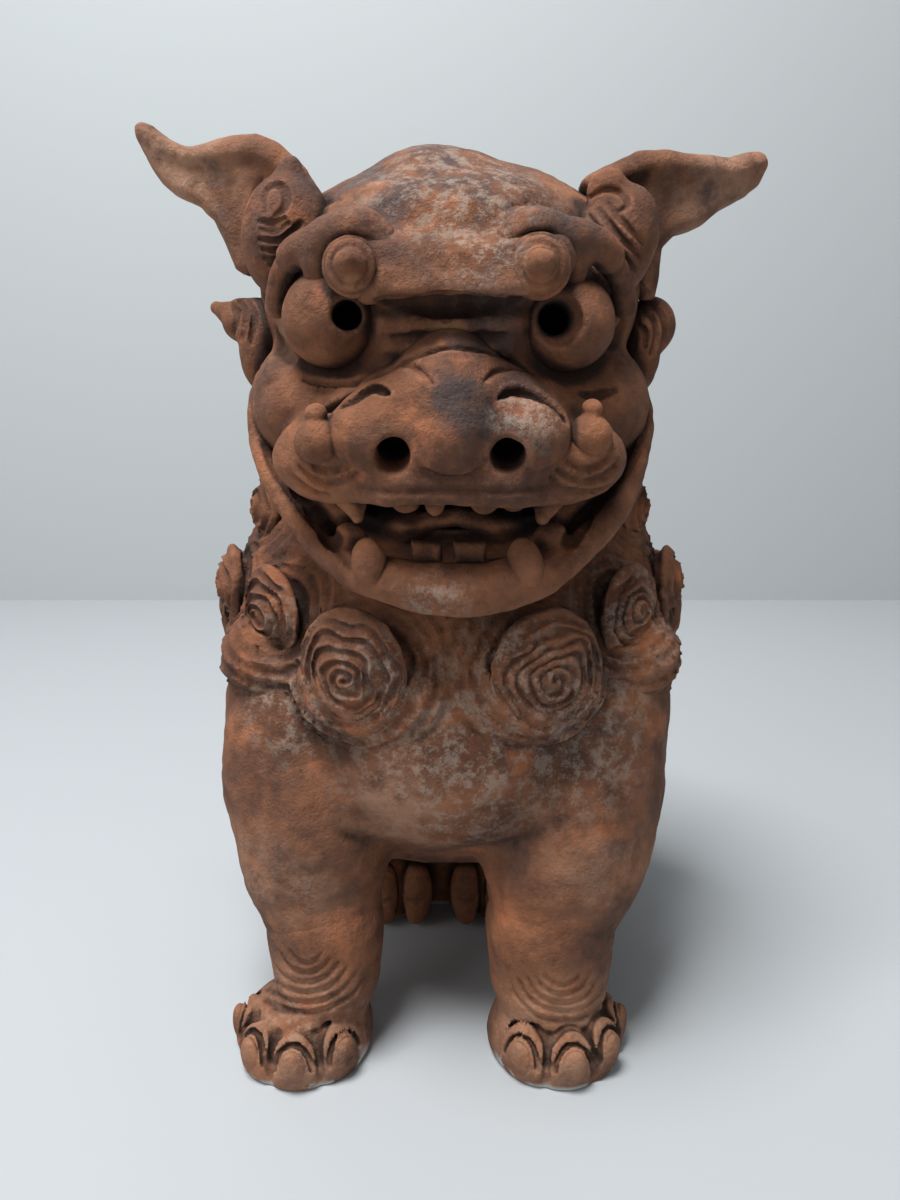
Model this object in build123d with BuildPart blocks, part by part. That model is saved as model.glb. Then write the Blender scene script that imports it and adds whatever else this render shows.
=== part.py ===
from build123d import *
import os
from math import cos, radians, sin, sqrt

# A seated guardian lion of fired clay with its mouth open, as a potter builds it: a hollow thrown body,
# and every other piece pressed, rolled or pinched by itself and luted on with slip.
# Millimetres. +Z is up and the lion faces -Y. Right and left are the lion's own, so its right is at -X.
# The origin lies on the ground, under the middle of the whole lion.

# The skin of slip between a piece and the piece that carries it
slip_gap = 0.2

# Body, from the ground to the nape
torso_height = 222.0
torso_width = 168.0
torso_depth = 158.0
clay_wall = 10.0

# Head, jaws and mouth
head_width = 119.0
head_height = 104.0
muzzle_width = 104.0
muzzle_height = 44.0
cheek_diameter = 41.0
cheek_length = 62.0
jaw_width = 116.0
jaw_height = 84.0
jaw_wall = 8.0
chin_thickness = 15.0
lower_lip_height = 15.0
lower_lip_depth = 14.0
upper_lip_height = 9.0
upper_lip_depth = 10.0
tongue_width = 46.0
tongue_thickness = 9.0
tongue_tip_width = 26.0
tongue_tip_diameter = 11.0

# Teeth
incisor_width = 8.5
incisor_thickness = 7.0
incisor_height = 14.0
upper_fang_diameter = 9.0
upper_fang_length = 13.0
lower_fang_diameter = 10.5
lower_fang_length = 18.0
fang_tip_diameter = 4.5

# Eyes, brows and nose
eyeball_diameter = 28.0
pupil_diameters = {"right": 8.4, "left": 11.0}
pupil_depth = 10.0
brow_thickness = 16.0
brow_knob_diameters = {"right": 14.5, "left": 16.5}
brow_nub_diameter = 8.0
brow_nub_length = 4.0
nose_width = 42.0
nose_thickness = 26.0
nostril_wing_diameter = 19.0
nostril_diameter = 9.0
nostril_depth = 11.0
wrinkle_width = 32.0
wrinkle_thickness = 10.0
whisker_knob_diameter = 12.0
whisker_nub_diameter = 7.0

# Ears and side curls of the head
ear_length = 58.0
ear_height = 42.0
ear_thickness = 15.0
ear_tip_diameter = 8.0
ear_hollow_depth = 6.0
ear_tuft_width = 17.0
ear_tuft_length = 32.0
temple_curl_length = 24.0
temple_curl_diameter = 24.0

# Mane
whorl_depth = 7.0

# Legs and paws
ankle_widths = {"right": 37.0, "left": 42.0}
ankle_depth = 40.0
forepaw_diameter = 48.0
forepaw_height = 23.0
fore_toe_diameter = 16.0
fore_toe_length = 22.0
haunch_width = 60.0
haunch_diameter = 86.0
hindpaw_diameter = 44.0
hindpaw_length = 54.0
hindpaw_height = 36.0
hind_toe_diameter = 14.5
hind_toe_height = 30.0
nail_diameter = 9.0
nail_height = 13.0

# Tail
tail_width = 38.0
tail_depth = 32.0
tail_curl_diameter = 27.0
tail_curl_height = 34.0

sides = {"right": -1, "left": 1}
up = Vector(0, 0, 1)
forward = Vector(0, -1, 0)
leftward = Vector(1, 0, 0)

# Rings of the torso: height, middle from front to back, width and depth, each as a share of the torso's
# height, half depth, width and depth.
torso_ring_shares = [
    (0.0, 0.58, 0.67, 0.48),
    (0.126, 0.57, 0.76, 0.545),
    (0.261, 0.23, 0.88, 0.875),
    (0.383, 0.01, 0.965, 1.0),
    (0.518, -0.09, 1.0, 0.95),
    (0.653, -0.127, 0.95, 0.85),
    (0.766, -0.10, 0.833, 0.72),
    (0.856, -0.025, 0.714, 0.58),
    (0.937, 0.076, 0.571, 0.43),
    (1.0, 0.10, 0.405, 0.30),
]
hollow_ring_count = 6
hollow_roof_shares = (0.72, -0.10, 0.45, 0.35)

# Rings of the mane, in the same shares: a slab round the neck that runs on up the back of the head
mane_ring_shares = [
    (0.518, -0.09, 1.015, 0.975),
    (0.60, -0.11, 1.02, 0.965),
    (0.72, -0.11, 0.95, 0.84),
    (0.84, -0.04, 0.81, 0.68),
    (0.94, 0.04, 0.69, 0.54),
    (1.04, 0.09, 0.64, 0.44),
    (1.14, 0.05, 0.60, 0.43),
    (1.22, 0.01, 0.50, 0.39),
    (1.29, -0.04, 0.32, 0.26),
    (1.315, -0.06, 0.16, 0.14),
]

# The head's middle, in front of the torso's and above its top
head_forward_share = 0.354
head_lift_share = 0.25
head_y = -head_forward_share * torso_depth / 2
head_z = torso_height + head_lift_share * head_height


def torso_place(x_share, y_share, z_share):
    """A place in shares of the torso's half width, half depth and height."""
    return Vector(x_share * torso_width / 2, y_share * torso_depth / 2, z_share * torso_height)


def head_place(x_share, y_share, z_share):
    """A place from the head's middle, in shares of its half width and half height."""
    x = x_share * head_width / 2
    y = head_y + y_share * head_width / 2
    z = head_z + z_share * head_height / 2
    return Vector(x, y, z)


def mane_point(angle, height_share):
    """A point on the mane: angle 0 is the front, 90 the lion's left, 180 the back."""
    for low, high in zip(mane_ring_shares, mane_ring_shares[1:]):
        if height_share <= high[0]:
            break
    way = (height_share - low[0]) / (high[0] - low[0])
    middle, width, depth = (a + (b - a) * way for a, b in zip(low[1:], high[1:]))
    x_share = width * sin(radians(angle))
    y_share = middle - depth * cos(radians(angle))
    return torso_place(x_share, y_share, height_share)


def on_mane(angle, height_share):
    """A plane that lies on the mane there and faces outward."""
    step_share = 0.02
    rise = mane_point(angle, height_share + step_share) - mane_point(angle, height_share - step_share)
    around = mane_point(angle + 1, height_share) - mane_point(angle - 1, height_share)
    return Plane(origin=mane_point(angle, height_share), x_dir=around, z_dir=around.cross(rise))


def bead(middle, diameter):
    """A round ball of clay."""
    with BuildPart() as rolled:
        Sphere(diameter / 2, rotation=poles_level)
    return rolled.part.moved(Location(middle))


poles_aside = (0, 90, 0)
poles_on_end = (0, 0, 0)
poles_level = (90, 0, 0)


def egg(middle, diameter, length, way, turn=poles_aside):
    """A ball of clay pulled long, or pressed flat, along one way. Its poles are turned away from the joints."""
    side = forward if way.Z else up
    with BuildPart() as pressed:
        Sphere(1, rotation=turn)
        scale(by=(diameter / 2, diameter / 2, length / 2))
    return pressed.part.moved(Location(Plane(origin=middle, x_dir=-side, z_dir=way)))


def rod(start, end, diameter, end_diameter):
    """A round rod, or a taper, from one point to another."""
    with BuildPart() as rolled:
        with BuildSketch(Plane(origin=start, z_dir=end - start)):
            Circle(diameter / 2)
        with BuildSketch(Plane(origin=end, z_dir=end - start)):
            Circle(end_diameter / 2)
        loft()
    return rolled.part


def stack(rings, swell):
    """A form built up from level rings: each a middle, a half width and a half depth."""
    with BuildPart() as built:
        for middle, half_width, half_depth in rings:
            with BuildSketch(Plane(origin=middle, x_dir=(0, 1, 0))):
                Ellipse(half_depth + swell, half_width + swell)
        loft()
    return built.part


def torso_rings(ring_shares):
    """Level rings of the torso or the mane, from their shares."""
    rings = []
    for height, middle, width, depth in ring_shares:
        rings.append((torso_place(0, middle, height), width * torso_width / 2, depth * torso_depth / 2))
    return rings


def roll(points, breadths, depths, swell):
    """A roll of clay along a route, with its breadth across the route and its depth from front to back."""
    last = len(points) - 1
    with BuildPart() as rolled:
        for index, point in enumerate(points):
            way = points[min(index + 1, last)] - points[max(index - 1, 0)]
            with BuildSketch(Plane(origin=point, x_dir=way.cross(forward), z_dir=way)):
                Ellipse(breadths[index] / 2 + swell, depths[index] / 2 + swell)
        loft()
    return rolled.part


def joined(shapes):
    """Pieces of clay pressed into one."""
    with BuildPart() as whole:
        add(shapes)
    return whole.part


def with_seat(shape_of):
    """A form, and the slightly larger space that other pieces leave round it."""
    return shape_of(0), shape_of(slip_gap)


def meets(one, other):
    """Whether the boxes round two shapes meet."""
    a = one.bounding_box(optimal=False)
    b = other.bounding_box(optimal=False)
    below = a.min.X <= b.max.X and a.min.Y <= b.max.Y and a.min.Z <= b.max.Z
    above = a.max.X >= b.min.X and a.max.Y >= b.min.Y and a.max.Z >= b.min.Z
    return below and above


finished = []


def fitted(shape, seats):
    """A shape cut to lie against the pieces that carry it, and level with the ground."""
    with BuildPart() as cut:
        add(shape)
        for seat in seats:
            if meets(cut.part, seat):
                add(seat, mode=Mode.SUBTRACT)
        if cut.part.bounding_box(optimal=False).min.Z < 0:
            split(bisect_by=Plane.XY, keep=Keep.TOP)
    return cut.part


def swelling_egg(middle, diameter, length, way, turn=poles_aside):
    """An egg that can be made a little larger all round."""
    return lambda swell: egg(middle, diameter + 2 * swell, length + 2 * swell, way, turn)


def laid_in_turn(shapes_of, seats):
    """Forms laid one after another, each fitted to the seats and to those before it."""
    laid = []
    before = []
    for shape_of in shapes_of:
        form, seat = with_seat(shape_of)
        laid.append(fitted(form, seats + before))
        before.append(seat)
    return laid, before


def luted(label, shapes, seats, holes=()):
    """A finished piece: its shapes fitted to their seats and pressed together, with its holes."""
    fitted_shapes = [fitted(shape, seats) for shape in shapes]
    with BuildPart() as piece:
        add(fitted_shapes)
        for hole in holes:
            add(hole, mode=Mode.SUBTRACT)
    piece.part.label = label
    finished.append(piece.part)
    return piece.part


# Torso: an egg drawn up to the nape, hollow from the ground to the shoulders
torso_form, torso_seat = with_seat(lambda swell: stack(torso_rings(torso_ring_shares), swell))
hollow_rings = torso_rings(torso_ring_shares[:hollow_ring_count] + [hollow_roof_shares])
torso_hollow = stack(hollow_rings, -clay_wall)

# Head: skull, muzzle with its cheeks, and the scoop of the lower jaw
skull_form, skull_seat = with_seat(swelling_egg(head_place(0, 0, 0), head_width, head_height, up))
muzzle_middle = head_place(0, -0.41, -0.58)
cheek_middles = [head_place(sign * 0.66, -0.34, -0.46) for sign in sides.values()]


def muzzle_of(swell):
    """The muzzle pad with a cheek pressed on at each side."""
    shapes = [egg(muzzle_middle, muzzle_width + 2 * swell, muzzle_height + 2 * swell, up)]
    for middle in cheek_middles:
        shapes.append(egg(middle, cheek_diameter + 2 * swell, cheek_length + 2 * swell, forward))
    return joined(shapes)


muzzle_form, muzzle_seat = with_seat(muzzle_of)
jaw_middle = head_place(0, -0.05, -0.79)
jaw_form, jaw_seat = with_seat(swelling_egg(jaw_middle, jaw_width, jaw_height, up, poles_on_end))
mouth_half_height = (jaw_height - chin_thickness) / 2
mouth_middle = jaw_middle + up * chin_thickness / 2
mouth_form = egg(mouth_middle, jaw_width - 2 * jaw_wall, 2 * mouth_half_height, up)
with BuildPart() as mouth_opening:
    with BuildSketch(Plane(origin=mouth_middle + up * jaw_wall + forward * jaw_wall, z_dir=forward)):
        Ellipse(jaw_width / 2 - jaw_wall, mouth_half_height + jaw_wall)
    extrude(amount=jaw_width)

luted("torso", [torso_form], [jaw_seat, skull_seat], [torso_hollow])
luted("skull", [skull_form], [])
luted("muzzle", [muzzle_form], [skull_seat])
luted("lower_jaw", [jaw_form], [skull_seat, muzzle_seat], [mouth_form, mouth_opening.part])

# Lips: the lower one runs from cheek to cheek round the chin, the upper one under the muzzle
lower_lip_shares = [
    (-0.97, -0.42, -0.46),
    (-0.90, -0.68, -0.88),
    (-0.56, -0.95, -1.34),
    (0.0, -1.05, -1.46),
    (0.56, -0.95, -1.34),
    (0.90, -0.68, -0.88),
    (0.97, -0.42, -0.46),
]
lower_lip_size_shares = [0.40, 0.62, 0.90, 1.0, 0.90, 0.62, 0.40]
lower_lip_form, lower_lip_seat = with_seat(
    lambda swell: roll(
        [head_place(*share) for share in lower_lip_shares],
        [lower_lip_height * share for share in lower_lip_size_shares],
        [lower_lip_depth * share for share in lower_lip_size_shares],
        swell,
    )
)
upper_lip_shares = [
    (-0.76, -0.72, -0.84),
    (-0.50, -1.05, -0.92),
    (0.0, -1.20, -0.93),
    (0.50, -1.05, -0.92),
    (0.76, -0.72, -0.84),
]
upper_lip_size_shares = [0.6, 1.0, 0.9, 1.0, 0.6]
upper_lip_form, upper_lip_seat = with_seat(
    lambda swell: roll(
        [head_place(*share) for share in upper_lip_shares],
        [upper_lip_height * share for share in upper_lip_size_shares],
        [upper_lip_depth * share for share in upper_lip_size_shares],
        swell,
    )
)
luted("lower_lip", [lower_lip_form], [jaw_seat, skull_seat, muzzle_seat])
luted("upper_lip", [upper_lip_form], [muzzle_seat, jaw_seat, lower_lip_seat])

# Nose: a pad with two wings, and a nostril bored beside each wing
nose_middle = head_place(0, -1.14, -0.60)
wing_places = [head_place(-0.33, -1.10, -0.58), head_place(0.33, -1.10, -0.58)]
nostril_places = [head_place(-0.26, -1.42, -0.72), head_place(0.26, -1.42, -0.72)]


def nose_of(swell):
    """The nose pad with its wings."""
    shapes = [egg(nose_middle, nose_thickness + 2 * swell, nose_width + 2 * swell, leftward)]
    return shapes + [bead(place, nostril_wing_diameter + 2 * swell) for place in wing_places]


nose_seat = joined(nose_of(slip_gap))
nostrils = []
for place in nostril_places:
    inner = place - forward * (nostril_depth + nose_thickness / 2)
    nostrils.append(rod(place, inner, nostril_diameter, nostril_diameter))
luted("nose", nose_of(0), [muzzle_seat, upper_lip_seat], nostrils)

# Eyes, brows and the knobs on the brows
eye_shares = {"right": (-0.565, -0.81, -0.03), "left": (0.56, -0.81, -0.05)}
brow_route_shares = [
    (0.16, -0.93, 0.24),
    (0.34, -0.91, 0.38),
    (0.56, -0.84, 0.40),
    (0.76, -0.72, 0.27),
    (0.88, -0.58, 0.02),
]
brow_size_shares = [0.7, 0.95, 1.0, 0.95, 0.6]
knob_shares = {"right": (-0.44, -1.06, 0.21), "left": (0.40, -1.06, 0.20)}
wrinkle_shares = [(0.0, -0.98, 0.11), (0.0, -0.96, -0.05), (0.0, -1.0, -0.18)]


def brow_of(sign, swell):
    """A roll of clay over one eye."""
    sizes = [brow_thickness * share for share in brow_size_shares]
    return roll([head_place(sign * x, y, z) for x, y, z in brow_route_shares], sizes, sizes, swell)


wrinkle_cuts = [skull_seat, muzzle_seat, nose_seat]
eye_seats = {}
brow_seats = {}
for side, sign in sides.items():
    eye_middle = head_place(*eye_shares[side])
    eye_form, eye_seats[side] = with_seat(lambda swell: bead(eye_middle, eyeball_diameter + 2 * swell))
    pupil_end = eye_middle + forward * (eyeball_diameter / 2 - pupil_depth)
    pupil_start = pupil_end + forward * eyeball_diameter
    pupil = rod(pupil_start, pupil_end, pupil_diameters[side], pupil_diameters[side])
    luted(f"eyeball_{side}", [eye_form], [skull_seat, muzzle_seat], [pupil])
    wrinkle_cuts.append(eye_seats[side])
wrinkles_of = []
for place_shares in wrinkle_shares:
    wrinkles_of.append(swelling_egg(head_place(*place_shares), wrinkle_thickness, wrinkle_width, leftward))
wrinkles, wrinkle_seats = laid_in_turn(wrinkles_of, wrinkle_cuts)
luted("bridge_wrinkles", wrinkles, [])
for side, sign in sides.items():
    brow_form, brow_seats[side] = with_seat(lambda swell: brow_of(sign, swell))
    luted(f"brow_{side}", [brow_form], [skull_seat, muzzle_seat, eye_seats[side]] + wrinkle_seats)
    knob_middle = head_place(*knob_shares[side])
    knob_form, knob_seat = with_seat(lambda swell: bead(knob_middle, brow_knob_diameters[side] + 2 * swell))
    knob_cuts = [skull_seat, eye_seats[side], brow_seats[side]] + wrinkle_seats
    luted(f"brow_knob_{side}", [knob_form], knob_cuts)
    nub_end = knob_middle + forward * (brow_knob_diameters[side] / 2 + brow_nub_length)
    luted(f"brow_nub_{side}", [rod(knob_middle, nub_end, brow_nub_diameter, brow_nub_diameter / 2)], [knob_seat])

# Knobs that carry the whiskers, each with a smaller nub on top
whisker_shares = {"right": (-0.59, -1.03, -0.67), "left": (0.61, -1.02, -0.65)}
for side, place_shares in whisker_shares.items():
    knob = head_place(*place_shares)
    nub = knob + forward * whisker_nub_diameter / 4 + up * whisker_knob_diameter / 2
    shapes = [bead(knob, whisker_knob_diameter), bead(nub, whisker_nub_diameter)]
    luted(f"whisker_knob_{side}", shapes, [muzzle_seat, upper_lip_seat, nose_seat])

# Tongue and teeth
upper_tooth_shares = [(-0.19, -1.06, -0.99), (-0.04, -1.10, -0.99), (0.14, -1.09, -0.99), (0.29, -1.03, -0.99)]
lower_tooth_shares = [(-0.11, -1.0, -1.33), (0.08, -1.0, -1.33)]
upper_fang_shares = [(-0.49, -1.02, -0.88), (0.49, -1.02, -0.88)]
lower_fang_shares = [(-0.38, -1.12, -1.36), (0.34, -1.13, -1.36)]


def incisors(place_shares, swell):
    """A row of flat teeth with rounded corners."""
    with BuildPart() as row:
        for share in place_shares:
            with BuildSketch(Plane(origin=head_place(*share), z_dir=forward)):
                RectangleRounded(incisor_width + 2 * swell, incisor_height + 2 * swell, incisor_width / 4)
            extrude(amount=incisor_thickness / 2 + swell, both=True)
    return row.part


upper_teeth_form, upper_teeth_seat = with_seat(lambda swell: incisors(upper_tooth_shares, swell))
lower_teeth_form, lower_teeth_seat = with_seat(lambda swell: incisors(lower_tooth_shares, swell))
upper_fang_forms = []
for place_shares in upper_fang_shares:
    root = head_place(*place_shares)
    upper_fang_forms.append(rod(root, root - up * upper_fang_length, upper_fang_diameter, fang_tip_diameter))
lower_fang_forms = []
for place_shares in lower_fang_shares:
    lower_fang_forms.append(egg(head_place(*place_shares), lower_fang_diameter, lower_fang_length, up))
mouth_seats = [muzzle_seat, upper_lip_seat]
luted("upper_teeth", [upper_teeth_form], mouth_seats + [nose_seat])
luted("upper_fangs", upper_fang_forms, mouth_seats + [upper_teeth_seat])
luted("lower_teeth", [lower_teeth_form], [lower_lip_seat, jaw_seat])
chin_cuts = [lower_lip_seat, jaw_seat]
luted("lower_fangs", lower_fang_forms, chin_cuts + mouth_seats)
tongue_flat = egg(head_place(0, -0.62, -1.23), tongue_width, tongue_thickness, up)
tongue_tip = egg(head_place(0.03, -0.88, -1.20), tongue_tip_diameter, tongue_tip_width, leftward)
mouth_floor = egg(mouth_middle, jaw_width - 2 * (jaw_wall + slip_gap), 2 * (mouth_half_height - slip_gap), up)
with BuildPart() as tongue:
    add([tongue_flat, tongue_tip])
    add(mouth_floor, mode=Mode.INTERSECT)
luted("tongue", [tongue.part], [lower_teeth_seat, skull_seat])

# Ears: a lobe drawn out to a point, with a hollow pressed into the front
ear_route_shares = {
    "right": [
        (0.0, 0.0, 0.0),
        (0.28, 0.07, 0.16),
        (0.50, 0.14, 0.28),
        (0.70, 0.20, 0.38),
        (0.85, 0.25, 0.56),
        (1.0, 0.29, 0.80),
    ],
    "left": [
        (0.0, 0.0, 0.0),
        (0.28, 0.07, 0.10),
        (0.50, 0.14, 0.32),
        (0.70, 0.20, 0.42),
        (0.85, 0.25, 0.50),
        (1.0, 0.29, 0.60),
    ],
}
ear_size_shares = [0.6, 1.0, 0.72, 0.46, 0.32]
ear_root_share = (0.73, -0.17, 0.46)
ear_seats = {}
for side, sign in sides.items():
    root = head_place(sign * ear_root_share[0], ear_root_share[1], ear_root_share[2])
    route = []
    for out, back, rise in ear_route_shares[side]:
        route.append(root + Vector(sign * out * ear_length, back * ear_length, rise * ear_height))
    sizes = ear_size_shares + [ear_tip_diameter / ear_height]

    def ear_of(swell):
        """One ear, with its sections upright and across its length."""
        with BuildPart() as lobe:
            for point, size in zip(route, sizes):
                with BuildSketch(Plane(origin=point, x_dir=(0, 1, 0), z_dir=(sign, 0, 0))):
                    Ellipse(ear_thickness * sqrt(size) / 2 + swell, ear_height * size / 2 + swell)
            loft()
        return lobe.part

    ear_form, ear_seats[side] = with_seat(ear_of)
    hollow_middle = (route[1] + route[2]) / 2 + forward * ear_thickness / 2
    hollow = egg(hollow_middle, 2 * ear_hollow_depth, ear_length / 2, leftward)
    luted(f"ear_{side}", [ear_form], [skull_seat], [hollow])

# Tufts at the roots of the ears
tuft_shares = {"right": (-0.80, -0.53, 0.48), "left": (0.80, -0.51, 0.38)}
tuft_lean_share = 0.25
for side, sign in sides.items():
    way = Vector(sign * tuft_lean_share, 0, 1)
    tuft = egg(head_place(*tuft_shares[side]), ear_tuft_width, ear_tuft_length, way, poles_level)
    luted(f"ear_tuft_{side}", [tuft], [skull_seat, brow_seats[side], eye_seats[side], ear_seats[side]])

# Curls behind the cheeks
temple_shares = {"right": (-1.02, -0.07, 0.04), "left": (1.0, -0.07, -0.04)}
temple_seats = {}
for side, place_shares in temple_shares.items():
    middle = head_place(*place_shares)
    temple_of = swelling_egg(middle, temple_curl_diameter, temple_curl_length, leftward)
    temple_form, temple_seats[side] = with_seat(temple_of)
    luted(f"temple_curl_{side}", [temple_form], [skull_seat, muzzle_seat, jaw_seat, ear_seats[side]])

# Mane: a slab of clay laid round the neck and up the back of the head
mane_form, mane_seat = with_seat(lambda swell: stack(torso_rings(mane_ring_shares), swell))
head_seats = [jaw_seat, skull_seat, muzzle_seat, lower_lip_seat]
mane_cuts = [torso_seat] + head_seats
for seats in (temple_seats, ear_seats):
    mane_cuts += [seats["right"], seats["left"]]
luted("mane_collar", [mane_form], mane_cuts)

# Whorls pressed onto the mane: name, angle from the front, height, and diameter
whorl_rows = [
    ("bib_whorl", 20, 0.64, 38.0),
    ("shoulder_whorl", 45, 0.70, 29.0),
    ("cheek_curl", 68, 0.83, 23.0),
    ("neck_curl", 74, 0.71, 25.0),
    ("side_whorl", 100, 0.64, 37.0),
    ("rear_whorl", 138, 0.66, 35.0),
]
middle_whorls = [("nape_whorl", 180, 1.08, 38.0), ("back_whorl", 180, 0.86, 34.0)]
whorl_profile_shares = [(0.0, 1.0), (0.22, 0.92), (0.36, 0.58), (0.58, 0.80), (0.78, 0.50), (1.0, 0.0)]


def whorl(spot, diameter):
    """A pressed disc of clay with a button, a groove and a sloping rim."""
    points = [(share * diameter / 2, rise * whorl_depth) for share, rise in whorl_profile_shares]
    with BuildPart() as disc:
        with BuildSketch(Plane.XZ):
            with BuildLine():
                Polyline([(0, -whorl_depth), *points, (diameter / 2, -whorl_depth)], close=True)
            make_face()
        revolve(axis=Axis.Z)
    return disc.part.moved(Location(spot))


whorls = []
for name, angle, height_share, diameter in whorl_rows:
    for side, sign in sides.items():
        whorls.append((f"{name}_{side}", sign * angle, height_share, diameter))
whorl_cuts = [mane_seat] + head_seats + list(temple_seats.values())
for label, angle, height_share, diameter in whorls + middle_whorls:
    luted(label, [whorl(on_mane(angle, height_share), diameter)], whorl_cuts)

# Forelegs, each a pillar from the shoulder to the paw
foreleg_ring_shares = [
    (0.61, 0.55, -0.48, 1.25, 1.20),
    (0.54, 0.59, -0.55, 1.60, 1.55),
    (0.414, 0.58, -0.62, 1.62, 1.56),
    (0.288, 0.52, -0.77, 1.31, 1.28),
    (0.203, 0.47, -0.87, 1.04, 1.05),
    (0.126, 0.47, -0.90, 1.0, 1.0),
    (0.03, 0.50, -0.91, 1.12, 1.08),
]
foreleg_spread_shares = {"right": 0.10, "left": -0.14}
forepaw_shares = {"right": (-0.61, -0.93), "left": (0.44, -0.93)}
fore_toe_angles = (86, 48, 4, -36)
for side, sign in sides.items():
    rings = []
    for height, across, along, width, depth in foreleg_ring_shares:
        spread = 1 + foreleg_spread_shares[side] * (1 - height)
        middle = torso_place(sign * across * spread, along, height)
        rings.append((middle, width * ankle_widths[side] / 2, depth * ankle_depth / 2))
    pillar, pillar_seat = with_seat(lambda swell: stack(rings, swell))
    x_share, y_share = forepaw_shares[side]
    paw_middle = torso_place(x_share, y_share, 0) + up * forepaw_height / 4
    toe_ways = []
    for angle in fore_toe_angles:
        toe_ways.append(Vector(sign * sin(radians(angle)), -cos(radians(angle)), 0))
    toe_reach = forepaw_diameter / 2 - fore_toe_length / 2 + fore_toe_length / 10

    def forepaw_of(swell):
        """A flattened ball with four toes."""
        tall = 2 * (forepaw_height - forepaw_height / 4)
        shapes = [egg(paw_middle, forepaw_diameter + 2 * swell, tall + 2 * swell, up)]
        for way in toe_ways:
            middle = paw_middle + way * toe_reach
            shapes.append(egg(middle, fore_toe_diameter + 2 * swell, fore_toe_length + 2 * swell, way))
        return shapes

    paw_seat = joined(forepaw_of(slip_gap))
    nails = []
    for way in toe_ways:
        spot = paw_middle + way * (toe_reach + fore_toe_length / 2 - nail_diameter / 5)
        nails.append(egg(spot, nail_diameter, nail_height, up))
    luted(f"foreleg_{side}", [pillar], [torso_seat, mane_seat, paw_seat])
    luted(f"forepaw_{side}", forepaw_of(0), [])
    luted(f"fore_claws_{side}", nails, [paw_seat, pillar_seat])

# Haunches and hind paws
haunch_shares = {"right": (-0.60, 0.50, 0.19), "left": (0.60, 0.50, 0.19)}
hindpaw_shares = {"right": (-0.33, 0.24), "left": (0.24, 0.24)}
hind_toe_count = 3
hind_toe_step_share = 0.92
hind_toe_rise_share = 0.44
for side, sign in sides.items():
    haunch_middle = torso_place(*haunch_shares[side])
    haunch_form, haunch_seat = with_seat(swelling_egg(haunch_middle, haunch_diameter, haunch_width, leftward))
    x_share, y_share = hindpaw_shares[side]
    paw_middle = torso_place(x_share, y_share, 0) + up * (hindpaw_height - hindpaw_diameter / 2)
    toe_middles = []
    for index in range(hind_toe_count):
        across = (index - (hind_toe_count - 1) / 2) * hind_toe_diameter * hind_toe_step_share
        reach = hindpaw_length / 2 - hind_toe_diameter / 3
        toe_middles.append(Vector(paw_middle.X + across, paw_middle.Y - reach, hind_toe_height * hind_toe_rise_share))
    paw_form, paw_seat = with_seat(swelling_egg(paw_middle, hindpaw_diameter, hindpaw_length, forward))
    toes_of = [swelling_egg(middle, hind_toe_diameter, hind_toe_height, up) for middle in toe_middles]
    toes, toe_seats = laid_in_turn(toes_of, [paw_seat])
    nails = []
    for middle in toe_middles:
        spot = middle + forward * (hind_toe_diameter / 2 - nail_diameter / 4) - up * nail_height / 2
        nails.append(egg(spot, nail_diameter, nail_height, up))
    luted(f"haunch_{side}", [haunch_form], [torso_seat])
    luted(f"hindpaw_{side}", [paw_form], [torso_seat, haunch_seat])
    luted(f"hind_toes_{side}", toes, [])
    luted(f"hind_claws_{side}", nails, toe_seats)

# Tail: a plume that stands up against the back, with a curl at each side
tail_route_shares = [
    (0.0, 0.90, 0.04),
    (0.0, 1.06, 0.22),
    (0.0, 1.06, 0.42),
    (0.0, 0.94, 0.58),
    (0.0, 0.84, 0.72),
]
tail_size_shares = [0.6, 0.85, 1.0, 0.85, 0.3]
tail_form, tail_seat = with_seat(
    lambda swell: roll(
        [torso_place(*share) for share in tail_route_shares],
        [tail_width * share for share in tail_size_shares],
        [tail_depth * share for share in tail_size_shares],
        swell,
    )
)
luted("tail", [tail_form], [torso_seat, mane_seat])
tail_curls = []
for sign in sides.values():
    spot = torso_place(0, 1.0, 0.36) + leftward * sign * tail_width / 2
    tail_curls.append(egg(spot, tail_curl_diameter, tail_curl_height, up))
luted("tail_curls", tail_curls, [tail_seat, torso_seat, mane_seat])

# The origin comes under the middle of the whole lion, and every piece is written
whole = Compound(children=[piece.moved(Location()) for piece in finished])
box = whole.bounding_box()
to_origin = Location((-(box.min.X + box.max.X) / 2, -(box.min.Y + box.max.Y) / 2, 0))
os.makedirs("parts", exist_ok=True)
for piece in finished:
    placed = piece.moved(to_origin)
    placed.label = piece.label
    export_step(placed, f"parts/{piece.label}.step")
print(len(finished), "pieces,", box.size)
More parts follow.
